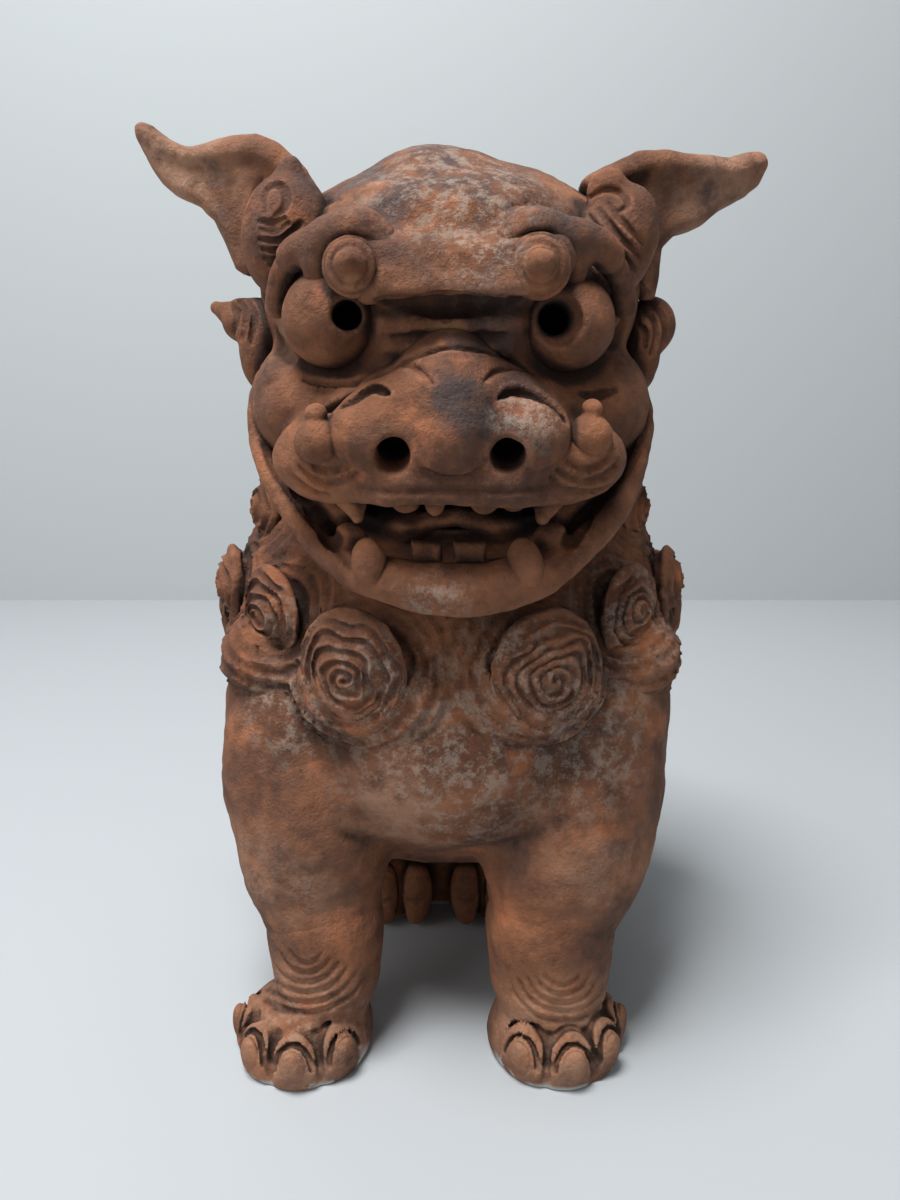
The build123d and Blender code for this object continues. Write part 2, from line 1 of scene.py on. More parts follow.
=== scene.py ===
import itertools
import math
import bpy
import numpy as np
from mathutils import Euler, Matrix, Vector


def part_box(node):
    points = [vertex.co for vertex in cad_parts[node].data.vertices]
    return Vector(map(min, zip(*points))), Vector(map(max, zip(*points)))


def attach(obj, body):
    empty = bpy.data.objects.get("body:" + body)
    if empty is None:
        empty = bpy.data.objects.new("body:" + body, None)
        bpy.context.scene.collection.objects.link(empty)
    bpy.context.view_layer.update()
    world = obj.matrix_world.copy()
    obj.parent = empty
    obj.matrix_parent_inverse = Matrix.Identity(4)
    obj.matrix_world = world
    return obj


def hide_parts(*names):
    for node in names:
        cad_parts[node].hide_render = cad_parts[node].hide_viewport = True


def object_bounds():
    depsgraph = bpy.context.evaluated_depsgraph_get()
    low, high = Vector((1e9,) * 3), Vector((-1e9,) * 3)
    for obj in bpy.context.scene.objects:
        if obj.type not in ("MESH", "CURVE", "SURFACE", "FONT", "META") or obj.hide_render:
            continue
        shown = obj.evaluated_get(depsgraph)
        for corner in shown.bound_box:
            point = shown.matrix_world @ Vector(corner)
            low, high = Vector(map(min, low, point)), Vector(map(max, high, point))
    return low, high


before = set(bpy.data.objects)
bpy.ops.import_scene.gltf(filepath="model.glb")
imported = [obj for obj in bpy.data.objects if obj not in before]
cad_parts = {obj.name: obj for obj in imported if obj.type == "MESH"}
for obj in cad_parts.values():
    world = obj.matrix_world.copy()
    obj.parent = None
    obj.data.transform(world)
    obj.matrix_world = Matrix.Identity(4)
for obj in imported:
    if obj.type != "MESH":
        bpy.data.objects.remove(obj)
cad_low, cad_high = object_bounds()

# A seated guardian lion of fired clay. Every piece is modelled in clay fields: a grid of distances to the
# surface, negative inside, to which lumps are pressed and from which grooves are cut.
# Millimetres until a mesh is made. The lion faces -Y and its right is at -X. The origin of the model's own
# places is the one that the CAD had before it was centred, found again from the middle of the skull.
skull_low, skull_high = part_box("skull")
skull_middle = (0.0, -27.97, 248.0)
shift_y = (skull_low.y + skull_high.y) / 2 * 1000 - skull_middle[1]

# The camera of the photograph, in pixels and millimetres
photo_width, photo_height = 900, 1200
focal_pixels = 880.0
camera_pitch = math.radians(15)
camera_place = np.array([0.0, -337.0, 234.0])

# Fields are kept up to this distance from the clay
far = 9.0

# Noise repeats after so many cells, and is shifted so that no place of the lion is below zero
rng_seed = 11
noise_cells = 64
noise_shift = 1000

# How a ray from the camera feels its way to the clay
ray_start, ray_end = 200.0, 560.0
touch = 0.05
stride_share, stride_least, stride_most = 0.8, 0.25, 4.0

# A stick cuts this share of the width drawn, less at the two ends of its stroke
groove_share = 0.78

# The reach above and below its surface in which clay is combed
skin_depth = 3.5


def smooth_min(a, b, blend):
    """The lower of two fields, with a fillet of clay between them."""
    if blend <= 0:
        return np.minimum(a, b)
    h = np.clip(0.5 + 0.5 * (b - a) / blend, 0, 1)
    return b + (a - b) * h - blend * h * (1 - h)


def between(table, whole, part):
    """The values of a table that repeats, between the eight places round each point."""
    total = 0
    for corner in itertools.product((0, 1), repeat=3):
        weight = 1
        index = []
        for axis, step_on in enumerate(corner):
            weight = weight * (part[:, axis] if step_on else 1 - part[:, axis])
            index.append((whole[:, axis] + step_on) % table.shape[axis])
        total = total + weight * table[tuple(index)]
    return total


def lattice_noise(points, spacing, seed):
    """Smooth noise from -1 to 1 at points in space."""
    table = np.random.default_rng(rng_seed + seed).uniform(-1, 1, (noise_cells,) * 3).astype(np.float32)
    places = points.astype(np.float32) / spacing + noise_shift
    whole = np.floor(places).astype(np.int64)
    part = places - whole
    return between(table, whole, part * part * (3 - 2 * part))


def turned(x, y, z, middle, turn):
    """Points seen from a middle, in axes that are turned by degrees."""
    x, y, z = x - middle[0], y - middle[1], z - middle[2]
    if not any(turn):
        return x, y, z
    m = np.array(Euler([math.radians(a) for a in turn]).to_matrix())
    return (
        x * m[0, 0] + y * m[1, 0] + z * m[2, 0],
        x * m[0, 1] + y * m[1, 1] + z * m[2, 1],
        x * m[0, 2] + y * m[1, 2] + z * m[2, 2],
    )


class Egg:
    """A ball of clay with three radii."""

    def __init__(self, middle, radii, turn=(0, 0, 0)):
        self.middle, self.radii, self.turn = middle, radii, turn
        reach = max(radii) if any(turn) else np.array(radii)
        self.low = np.array(middle) - reach
        self.high = np.array(middle) + reach

    def distance(self, x, y, z):
        x, y, z = turned(x, y, z, self.middle, self.turn)
        a, b, c = self.radii
        k0 = np.sqrt((x / a) ** 2 + (y / b) ** 2 + (z / c) ** 2)
        k1 = np.sqrt((x / a**2) ** 2 + (y / b**2) ** 2 + (z / c**2) ** 2)
        return k0 * (k0 - 1) / np.maximum(k1, 1e-6)


class Limb:
    """A rolled strip of clay through points, with a radius at each."""

    def __init__(self, points, radii):
        self.points = [np.array(p, float) for p in points]
        self.radii = [radii] * len(points) if np.isscalar(radii) else list(radii)
        reach = max(self.radii)
        self.low = np.min(self.points, axis=0) - reach
        self.high = np.max(self.points, axis=0) + reach

    def distance(self, x, y, z):
        best = None
        for p, q, r, s in zip(self.points, self.points[1:], self.radii, self.radii[1:]):
            d = q - p
            t = ((x - p[0]) * d[0] + (y - p[1]) * d[1] + (z - p[2]) * d[2]) / max(d @ d, 1e-6)
            t = np.clip(t, 0, 1)
            ex, ey, ez = x - p[0] - t * d[0], y - p[1] - t * d[1], z - p[2] - t * d[2]
            one = np.sqrt(ex * ex + ey * ey + ez * ez) - (r + (s - r) * t)
            best = one if best is None else np.minimum(best, one)
        return best


class Stack:
    """Level rings built up: each a height, a middle from front to back, a half width and a half depth."""

    def __init__(self, rings, swell=0.0):
        self.rings = np.array(rings, float)
        self.swell = swell
        h, m, w, d = self.rings.T
        self.low = np.array([-w.max() - swell, (m - d).min() - swell, h.min()])
        self.high = np.array([w.max() + swell, (m + d).max() + swell, h.max()])

    def distance(self, x, y, z):
        h, m, w, d = self.rings.T
        zc = np.clip(z, h.min(), h.max())
        middle = np.interp(zc, h, m)
        half_width = np.interp(zc, h, w) + self.swell
        half_depth = np.interp(zc, h, d) + self.swell
        k = np.sqrt((x / half_width) ** 2 + ((y - middle) / half_depth) ** 2)
        side = (k - 1) * np.minimum(half_width, half_depth)
        return np.maximum(side, np.maximum(h.min() - z, z - h.max()))


class Slab:
    """A flat lump with an outline seen from the front, in X and Z, and a thickness that varies along X."""

    def __init__(self, outline, y_at, thick_at, rounding=3.0):
        self.outline = np.array(outline, float)
        self.y_at, self.thick_at, self.rounding = y_at, thick_at, rounding
        low, high = self.outline.min(0), self.outline.max(0)
        ys = [y_at(low[0]), y_at(high[0])]
        self.low = np.array([low[0] - rounding, min(ys) - 12, low[1] - rounding])
        self.high = np.array([high[0] + rounding, max(ys) + 12, high[1] + rounding])

    def distance(self, x, y, z):
        px = x + 0 * z
        pz = z + 0 * x
        best = np.full(px.shape, 1e9)
        inside = np.zeros(px.shape, bool)
        ring = self.outline
        for a, b in zip(ring, np.roll(ring, -1, axis=0)):
            e = b - a
            wx, wz = px - a[0], pz - a[1]
            t = np.clip((wx * e[0] + wz * e[1]) / (e @ e), 0, 1)
            best = np.minimum(best, (wx - t * e[0]) ** 2 + (wz - t * e[1]) ** 2)
            crosses = (a[1] > pz) != (b[1] > pz)
            with np.errstate(divide="ignore", invalid="ignore"):
                at = a[0] + (pz - a[1]) * e[0] / (e[1] if e[1] else 1e-9)
            inside ^= crosses & (px < at)
        flat = np.sqrt(best) * np.where(inside, -1, 1) + self.rounding
        deep = np.abs(y - self.y_at(x)) - self.thick_at(x) + self.rounding
        out = np.sqrt(np.maximum(flat, 0) ** 2 + np.maximum(deep, 0) ** 2)
        return out + np.minimum(np.maximum(flat, deep), 0) - self.rounding


class Clay:
    """A block of space in which a piece is modelled."""

    def __init__(self, low, high, step):
        self.step = step
        self.low = np.array(low, float)
        counts = np.ceil((np.array(high, float) - self.low) / step).astype(int) + 1
        self.axes = [self.low[i] + step * np.arange(counts[i]) for i in range(3)]
        self.field = np.full(counts, far, np.float32)

    def window(self, shape, margin):
        cuts, coords = [], []
        for i in range(3):
            axis = self.axes[i]
            first = int(np.searchsorted(axis, shape.low[i] - margin))
            last = int(np.searchsorted(axis, shape.high[i] + margin))
            cuts.append(slice(first, max(last, first + 1)))
            reach = [1, 1, 1]
            reach[i] = -1
            coords.append(axis[cuts[-1]].astype(np.float32).reshape(reach))
        return tuple(cuts), coords

    def press(self, shape, blend=2.0):
        cut, coords = self.window(shape, blend + 4)
        d = shape.distance(*coords)
        self.field[cut] = smooth_min(self.field[cut], np.minimum(d, far), blend)
        return self

    def carve(self, shape, blend=1.0):
        cut, coords = self.window(shape, blend + 4)
        d = shape.distance(*coords)
        self.field[cut] = -smooth_min(-self.field[cut], d, blend)
        return self

    def level(self, height=0.0):
        z = self.axes[2].reshape(1, 1, -1)
        self.field = np.maximum(self.field, (height - z).astype(np.float32))
        return self

    def at(self, point):
        """The field at a point, between the grid's places."""
        f = (np.array(point) - self.low) / self.step
        i = np.floor(f).astype(int)
        if (i < 0).any() or (i + 1 >= np.array(self.field.shape)).any():
            return far
        t = f - i
        block = self.field[i[0] : i[0] + 2, i[1] : i[1] + 2, i[2] : i[2] + 2]
        for k in range(3):
            block = block[0] * (1 - t[k]) + block[1] * t[k]
        return float(block)

    def trace(self, pixels, sink=0.0):
        """The places on the clay behind pixels of the photograph, pushed inward by a depth."""
        found = []
        for u, v in pixels:
            ray = pixel_ray(u, v)
            t = ray_start
            while t < ray_end:
                d = self.at(camera_place + ray * t)
                if d < touch:
                    break
                t += max(min(d, stride_most) * stride_share, stride_least)
            if t < ray_end:
                found.append(camera_place + ray * (t + sink))
        return found

    def groove(self, pixels, width, blend=0.6):
        """A furrow drawn with a stick along pixels of the photograph."""
        path = self.trace(curve(pixels))
        if len(path) > 1:
            swell = [0.45 + 0.55 * math.sin(math.pi * (i + 0.5) / len(path)) for i in range(len(path))]
            radii = [width * groove_share * share for share in swell]
            self.carve(Limb(path, radii), blend)
        return self

    def furrows(self, lines, radius, sink=0.0, blend=0.3):
        """Furrows side by side, all traced before the first is cut."""
        for path in [self.trace(curve(line), sink) for line in lines]:
            if len(path) > 1:
                swell = [0.5 + 0.5 * math.sin(math.pi * (i + 0.5) / len(path)) for i in range(len(path))]
                self.carve(Limb(path, [radius * share for share in swell]), blend)
        return self

    def ridge(self, pixels, width, sink, blend=3.0):
        """A roll of clay smeared on along pixels of the photograph."""
        path = self.trace(curve(pixels), sink)
        if len(path) > 1:
            self.press(Limb(path, width / 2), blend)
        return self

    def skin(self):
        """The places of the grid near the surface: their indices, and where they lie."""
        index = np.argwhere(np.abs(self.field) < skin_depth)
        return tuple(index.T), index * self.step + self.low


def pixel_ray(u, v):
    a = (u - photo_width / 2) / focal_pixels
    b = (photo_height / 2 - v) / focal_pixels
    c, s = math.cos(camera_pitch), math.sin(camera_pitch)
    ray = np.array([a, c + b * s, b * c - s])
    return ray / np.linalg.norm(ray)


def curve(points, parts=5):
    """A smooth line through points."""
    p = [np.array(q, float) for q in points]
    if len(p) < 3:
        return [p[0] + (p[-1] - p[0]) * i / 6 for i in range(7)]
    p = [2 * p[0] - p[1]] + p + [2 * p[-1] - p[-2]]
    line = []
    for a, b, c, d in zip(p, p[1:], p[2:], p[3:]):
        for i in range(parts):
            t = i / parts
            bend = 2 * a - 5 * b + 4 * c - d
            twist = 3 * b - a - 3 * c + d
            line.append(0.5 * (2 * b + (c - a) * t + bend * t * t + twist * t**3))
    line.append(p[-2])
    return line


def arc(middle, radii, start, end, count=9):
    """Pixels on an arc, in degrees from the right and upward."""
    path = []
    for i in range(count):
        a = math.radians(start + (end - start) * i / (count - 1))
        path.append((middle[0] + radii[0] * math.cos(a), middle[1] - radii[1] * math.sin(a)))
    return path


def surface_of(field, low, step):
    """Corners and four-sided faces of the skin of a field, by surface nets."""
    field = np.pad(field, 1, constant_values=far)
    low = low - step
    shape = np.array(field.shape)
    cells = shape - 1
    inside = field < 0
    ids, crossings, faces = [], [], []
    for axis in range(3):
        a = np.take(inside, range(shape[axis] - 1), axis)
        b = np.take(inside, range(1, shape[axis]), axis)
        where = np.argwhere(a != b)
        one = tuple(where.T)
        step_on = np.zeros(3, int)
        step_on[axis] = 1
        two = tuple((where + step_on).T)
        f0, f1 = field[one], field[two]
        place = where.astype(np.float64)
        place[:, axis] += f0 / (f0 - f1)
        o1, o2 = (axis + 1) % 3, (axis + 2) % 3
        around = []
        for d1, d2 in ((0, 0), (-1, 0), (-1, -1), (0, -1)):
            cell = where.copy()
            cell[:, o1] += d1
            cell[:, o2] += d2
            index = (cell[:, 0] * cells[1] + cell[:, 1]) * cells[2] + cell[:, 2]
            around.append(index)
            ids.append(index)
            crossings.append(place)
        quad = np.stack(around, 1)
        flip = ~inside[one]
        quad[flip] = quad[flip][:, ::-1]
        faces.append(quad)
    ids = np.concatenate(ids)
    crossings = np.concatenate(crossings)
    used, back = np.unique(ids, return_inverse=True)
    count = np.bincount(back)
    corners = np.stack([np.bincount(back, crossings[:, i]) / count for i in range(3)], 1)
    faces = np.searchsorted(used, np.concatenate(faces))
    return corners * step + low, faces


def neighbour_mean(values, faces):
    """For each corner the mean of the corners next to it."""
    total = np.zeros_like(values)
    count = np.zeros(len(values))
    for i in range(4):
        a, b = faces[:, i], faces[:, (i + 1) % 4]
        for p, q in ((a, b), (b, a)):
            for k in range(values.shape[1]):
                total[:, k] += np.bincount(p, values[q, k], len(values))
            count += np.bincount(p, minlength=len(values))
    return total / np.maximum(count, 1)[:, None]


def normals_of(corners, faces):
    a = corners[faces[:, 2]] - corners[faces[:, 0]]
    b = corners[faces[:, 3]] - corners[faces[:, 1]]
    n = np.cross(a, b)
    out = np.zeros_like(corners)
    for i in range(4):
        for k in range(3):
            out[:, k] += np.bincount(faces[:, i], n[:, k], len(corners))
    return out / np.maximum(np.linalg.norm(out, axis=1), 1e-9)[:, None]


# The marks of hands: spacing and height. They fade towards the ground, where the feet are flat.
hand_marks = ((23.0, 0.75), (9.0, 0.38), (4.2, 0.22), (2.2, 0.13))
flat_height = 3.0
smoothing_weights = (0.38, 0.22)

# The hollows are smoothed a few times, and a hollow of a step divided by this gain counts in full
cavity_rounds, cavity_share, cavity_gain = 3, 0.6, 4
made = []


def fired(name, clay, rough=1.0, nodes=None):
    """The finished mesh of a piece, with the marks of hands on it, in metres and in its place.

    It stands for the nodes given, or else for the node of its own name.
    """
    corners, faces = surface_of(clay.field, clay.low, clay.step)
    for weight in smoothing_weights:
        corners += (neighbour_mean(corners, faces) - corners) * weight
    normals = normals_of(corners, faces)
    lift = 0
    for number, (spacing, height) in enumerate(hand_marks):
        lift = lift + rough * height * lattice_noise(corners, spacing, number)
    free = np.clip(corners[:, 2] / flat_height, 0, 1)
    corners += normals * (lift * free)[:, None]
    hollow = ((neighbour_mean(corners, faces) - corners) * normals).sum(1)[:, None]
    for _ in range(cavity_rounds):
        hollow = neighbour_mean(hollow, faces) * cavity_share + hollow * (1 - cavity_share)
    corners[:, 2] = np.maximum(corners[:, 2], 0)
    corners[:, 1] += shift_y
    corners /= 1000
    corners = np.clip(corners, np.array(cad_low), np.array(cad_high))
    mesh = bpy.data.meshes.new(name)
    mesh.from_pydata([], [], [])
    mesh.vertices.add(len(corners))
    mesh.vertices.foreach_set("co", corners.astype(np.float32).ravel())
    mesh.loops.add(faces.size)
    mesh.loops.foreach_set("vertex_index", faces.astype(np.int32).ravel())
    mesh.polygons.add(len(faces))
    mesh.polygons.foreach_set("loop_start", np.arange(0, faces.size, 4, dtype=np.int32))
    mesh.update(calc_edges=True)
    mesh.validate()
    mesh.shade_smooth()
    cavity = mesh.attributes.new("cavity", "FLOAT", "POINT")
    depth = np.clip(hollow[:, 0] / clay.step * cavity_gain, -1, 1)
    cavity.data.foreach_set("value", depth.astype(np.float32))
    mesh.materials.append(fired_clay)
    piece = bpy.data.objects.new(name, mesh)
    bpy.context.collection.objects.link(piece)
    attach(piece, "root")
    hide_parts(*(nodes or [name]))
    made.append((piece, corners * 1000 - (0, shift_y, 0), normals, clay))
    return piece


# One coarse field over the whole lion, and how far out from the clay it is felt
nook_step = 2.0
nook_low = np.array([-110.0, -120.0, -8.0])
nook_counts = np.array([111, 121, 164])
nook_reaches = (3.5, 8.0)


def settle_nook_shade():
    """Marks how far each corner lies in a nook between the pieces, where painted shade darkens the clay."""
    whole = np.full(nook_counts, far, np.float32)
    for _, _, _, clay in made:
        picks, cuts = [], []
        for i in range(3):
            first = max(int(math.ceil((clay.low[i] - nook_low[i]) / nook_step)), 0)
            last = min(int((clay.axes[i][-1] - nook_low[i]) / nook_step), int(nook_counts[i]) - 1)
            places = nook_low[i] + nook_step * np.arange(first, last + 1)
            picks.append(np.round((places - clay.low[i]) / clay.step).astype(int))
            cuts.append(slice(first, last + 1))
        cut = tuple(cuts)
        whole[cut] = np.minimum(whole[cut], clay.field[np.ix_(*picks)])
    for piece, corners, normals, _ in made:
        total = 0
        for reach in nook_reaches:
            f = (corners + normals * reach - nook_low) / nook_step
            f = np.clip(f, 0, nook_counts - 1.001)
            i = f.astype(int)
            value = between(whole, i, f - i)
            total = total + np.clip(1 - value / reach, 0, 1) / len(nook_reaches)
        nook = piece.data.attributes.new("nook", "FLOAT", "POINT")
        nook.data.foreach_set("value", total.astype(np.float32))


def block_round(shapes, step, margin=4.0):
    """An empty block of space with room for some shapes."""
    low = np.min([s.low for s in shapes], axis=0) - margin
    high = np.max([s.high for s in shapes], axis=0) + margin
    return Clay(low, high, step)


def lump(shapes, step, blend=2.0):
    """Shapes pressed together, with a fillet of the blend's size at their seams."""
    clay = block_round(shapes, step)
    for shape in shapes:
        clay.press(shape, blend)
    return clay


def colour_ramp(nodes, stops):
    """A ramp node with colours at given places."""
    ramp = nodes.new("ShaderNodeValToRGB")
    while len(ramp.color_ramp.elements) > 1:
        ramp.color_ramp.elements.remove(ramp.color_ramp.elements[-1])
    for i, (at, colour) in enumerate(stops):
        stop = ramp.color_ramp.elements[0] if i == 0 else ramp.color_ramp.elements.new(at)
        stop.position = at
        stop.color = (*colour, 1)
    return ramp


def clay_material(name):
    """Fired clay: orange to brown, smoked in patches, limy in others, with dirt and painted shade in the
    furrows, painted shade in the nooks and holes, and painted light in pale patches.
    """
    material = bpy.data.materials.new(name)
    material.use_nodes = True
    nodes, links = material.node_tree.nodes, material.node_tree.links
    shader = nodes["Principled BSDF"]
    where = nodes.new("ShaderNodeTexCoord").outputs["Object"]

    def noise(scale, detail, rough, seed):
        shifted = nodes.new("ShaderNodeVectorMath")
        shifted.operation = "ADD"
        shifted.inputs[1].default_value = (seed * 0.37, seed * 0.11, seed * 0.23)
        links.new(where, shifted.inputs[0])
        made_noise = nodes.new("ShaderNodeTexNoise")
        made_noise.inputs["Scale"].default_value = scale
        made_noise.inputs["Detail"].default_value = detail
        made_noise.inputs["Roughness"].default_value = rough
        links.new(shifted.outputs[0], made_noise.inputs["Vector"])
        return made_noise.outputs["Fac"]

    def mixed(low, high, amount):
        mix = nodes.new("ShaderNodeMix")
        mix.data_type = "RGBA"
        for socket, value in ((mix.inputs[6], low), (mix.inputs[7], high)):
            if isinstance(value, tuple):
                socket.default_value = (*value, 1)
            else:
                links.new(value, socket)
        links.new(amount, mix.inputs[0])
        return mix.outputs[2]

    def ranged(value, low, high, to_low=0.0, to_high=1.0):
        change = nodes.new("ShaderNodeMapRange")
        change.inputs["From Min"].default_value = low
        change.inputs["From Max"].default_value = high
        change.inputs["To Min"].default_value = to_low
        change.inputs["To Max"].default_value = to_high
        change.interpolation_type = "SMOOTHSTEP"
        links.new(value, change.inputs["Value"])
        return change.outputs["Result"]

    def combined(kind, a, b):
        math_node = nodes.new("ShaderNodeMath")
        math_node.operation = kind
        math_node.use_clamp = True
        for socket, value in ((math_node.inputs[0], a), (math_node.inputs[1], b)):
            if isinstance(value, float):
                socket.default_value = value
            else:
                links.new(value, socket)
        return math_node.outputs[0]

    def near(point, inner, outer):
        """One at a place on the lion, in millimetres, and zero away from it."""
        gap = nodes.new("ShaderNodeVectorMath")
        gap.operation = "DISTANCE"
        gap.inputs[1].default_value = (point[0] / 1000, (point[1] + shift_y) / 1000, point[2] / 1000)
        links.new(where, gap.inputs[0])
        return ranged(gap.outputs["Value"], outer / 1000, inner / 1000)

    def any_of(values):
        """The highest of some values."""
        total = values[0]
        for value in values[1:]:
            total = combined("MAXIMUM", total, value)
        return total

    def at_places(table):
        return any_of([near(*place) for place in table])

    def tinted(colour, tint, amount, share):
        return mixed(colour, tint, combined("MULTIPLY", amount, share))

    def marked(label):
        attribute = nodes.new("ShaderNodeAttribute")
        attribute.attribute_name = label
        return attribute.outputs["Fac"]

    base = colour_ramp(nodes, clay_stops)
    links.new(noise(*clay_noise), base.inputs[0])
    colour = base.outputs[0]
    for tint, share, patchwork in clay_layers:
        amounts = []
        for settings, (low, high), limit in patchwork:
            if isinstance(limit, list):
                limit = at_places(limit)
            amounts.append(combined("MULTIPLY", ranged(noise(*settings), low, high), limit))
        colour = tinted(colour, tint, any_of(amounts), share)
    cavity = marked("cavity")
    # dirt and painted shade: darker in the furrows and hollows
    colour = tinted(colour, furrow_dirt_and_shade, ranged(cavity, *furrow_range), furrow_share)
    # painted shade: darker in the nooks between the pieces, where less light reaches
    colour = tinted(colour, painted_nook_shade, ranged(marked("nook"), *nook_range), nook_share)
    rubbed = ranged(noise(*worn_noise), *worn_range)
    colour = tinted(colour, worn_edge, combined("MULTIPLY", ranged(cavity, *edge_range), rubbed), worn_share)
    height = nodes.new("ShaderNodeSeparateXYZ")
    links.new(where, height.inputs[0])
    low_down = ranged(height.outputs["Z"], plaster_top / 1000, plaster_full / 1000)
    plastered = combined("MAXIMUM", low_down, at_places(plaster_places))
    splashes = ranged(noise(*plaster_noise), *plaster_range)
    colour = mixed(colour, plaster_white, combined("MULTIPLY", plastered, splashes))
    # painted shade inside the mouth, nostrils and pupils
    colour = tinted(colour, painted_hole_shade, at_places(hole_shade_places), hole_shade_share)
    links.new(colour, shader.inputs["Base Color"])
    links.new(ranged(noise(*gloss_noise), *gloss_range, *roughness_range), shader.inputs["Roughness"])
    shader.inputs["Specular IOR Level"].default_value = 0.35
    fine, coarse = (combined("MULTIPLY", noise(*settings), share) for settings, share in grains)
    grain = combined("ADD", fine, coarse)
    bump = nodes.new("ShaderNodeBump")
    bump.inputs["Strength"].default_value = grain_strength
    bump.inputs["Distance"].default_value = grain_depth
    links.new(grain, bump.inputs["Height"])
    links.new(bump.outputs[0], shader.inputs["Normal"])
    return material


# Each noise has a scale, a detail, a roughness and a seed
clay_noise = (34, 9, 0.68, 1)
clay_stops = [
    (0.30, (0.056, 0.024, 0.015)),
    (0.42, (0.118, 0.047, 0.025)),
    (0.52, (0.202, 0.079, 0.037)),
    (0.66, (0.322, 0.126, 0.056)),
]
fresh_orange = (0.42, 0.145, 0.060)
soot_grey = (0.055, 0.044, 0.046)
lime_grey = (0.39, 0.30, 0.24)
chip_yellow = (0.44, 0.215, 0.095)
# Dirt and painted shade in the furrows
furrow_dirt_and_shade = (0.050, 0.019, 0.012)
# Painted shade in the nooks between the pieces
painted_nook_shade = (0.022, 0.011, 0.008)
worn_edge = (0.45, 0.20, 0.11)
plaster_white = (0.62, 0.62, 0.58)
painted_hole_shade = (0.012, 0.008, 0.007)
painted_light_pale = (0.45, 0.240, 0.145)
furrow_range, furrow_share = (0.02, 0.5), 0.75
nook_range, nook_share = (0.26, 0.9), 0.86
edge_range, worn_noise, worn_range, worn_share = (-0.04, -0.4), (200, 6, 0.7, 8), (0.35, 0.65), 0.35
hole_shade_share = 0.94

# Plaster is whole below one height, in millimetres, and gone above the other
plaster_full, plaster_top = 0.4, 3.2
plaster_noise, plaster_range = (70, 4, 0.6, 9), (0.44, 0.52)
gloss_noise, gloss_range, roughness_range = (90, 6, 0.6, 10), (0.3, 0.7), (0.62, 0.88)
grains = (((900, 6, 0.7, 11), 0.35), ((260, 8, 0.65, 12), 0.65))
grain_strength, grain_depth = 0.8, 0.0030

# Where the clay is marked: a place in millimetres, the reach of the full mark and the reach where it ends
soot_places = [
    ((-12, -70, 288), 14, 50),
    ((18, -80, 270), 10, 34),
    ((5, -84, 243), 8, 22),
    ((20, -103, 222), 8, 24),
    ((4, -106, 226), 4, 16),
    ((-78, -30, 292), 6, 22),
    ((86, -28, 292), 10, 28),
    ((44, -76, 128), 6, 26),
    ((-20, -100, 246), 4, 12),
    ((-45, -70, 60), 4, 22),
]
lime_places = [
    ((2, -74, 280), 12, 40),
    ((8, -88, 264), 6, 24),
    ((-84, -26, 284), 8, 26),
    ((-50, -84, 12), 6, 24),
    ((36, -84, 12), 6, 24),
    ((0, -86, 112), 18, 50),
    ((40, -76, 122), 14, 40),
    ((-48, -70, 128), 6, 30),
    ((-52, -74, 156), 4, 20),
    ((20, -84, 146), 6, 28),
    ((-22, -84, 140), 6, 26),
    ((-4, -98, 168), 3, 16),
    ((22, -104, 223), 4, 18),
    ((-52, -66, 70), 6, 28),
    ((44, -66, 76), 6, 30),
    ((60, -60, 155), 10, 34),
]
# Painted shade inside the pupils, the nostrils and the mouth
hole_shade_places = [
    ((-28.5, -79.5, 247), 6.5, 8.8),
    ((-29.3, -70, 247), 7.5, 9.5),
    ((29.2, -79.5, 246), 6.5, 8.8),
    ((29.6, -70, 246), 7.5, 9.5),
    ((-15.6, -90.5, 215.5), 6.5, 9.0),
    ((16.0, -90.5, 215.5), 6.5, 9.0),
    ((0, -50, 201), 17, 26),
    ((-18, -66, 196), 9, 15),
    ((18, -66, 196), 9, 15),
    ((-19, -73, 194), 8, 14),
    ((19, -73, 194), 8, 14),
    ((0, -72, 197), 9, 15),
    ((-21, -50, 203), 13, 20),
    ((21, -50, 203), 13, 20),
]
plaster_places = [
    ((-33, -84, 0), 3, 9),
    ((20, -88, 0), 3, 9),
    ((60, -78, 0), 2, 6),
    ((-46, -98, 0), 2, 5),
]
# Painted light: paler patches on the ears, paws, knees and chest where the light falls
painted_light_places = [
    ((-86, -30, 288), 12, 38),
    ((86, -30, 286), 10, 32),
    ((-50, -84, 18), 12, 32),
    ((38, -84, 18), 12, 32),
    ((-52, -66, 72), 8, 32),
    ((46, -66, 74), 8, 32),
    ((-52, -60, 240), 2, 16),
    ((-20, -80, 96), 6, 24),
]
chip_places = [
    ((-25, -99, 253), 1.5, 4.5),
    ((24, -99.5, 252.5), 1.0, 4),
    ((3, -93, 252), 1.5, 5),
    ((0, -88, 244), 1.5, 5.5),
]

# The layers over the clay, each with its colour, its share and its patches. A patch has a noise, the range
# in which it comes on, and the places or the share that it keeps to.
clay_layers = [
    (fresh_orange, 0.55, [((55, 5, 0.6, 2), (0.56, 0.68), 1.0)]),
    (
        soot_grey,
        0.78,
        [((60, 8, 0.7, 3), (0.42, 0.58), soot_places), ((38, 8, 0.72, 4), (0.58, 0.72), 0.55)],
    ),
    (
        lime_grey,
        0.6,
        [((210, 12, 0.8, 5), (0.47, 0.58), lime_places), ((120, 10, 0.78, 6), (0.60, 0.72), 0.25)],
    ),
    # painted light on the ears, paws and knees
    (painted_light_pale, 0.78, [((70, 8, 0.7, 13), (0.34, 0.62), painted_light_places)]),
    (chip_yellow, 0.8, [((140, 3, 0.5, 7), (0.40, 0.46), chip_places)]),
]
fired_clay = clay_material("fired_clay")

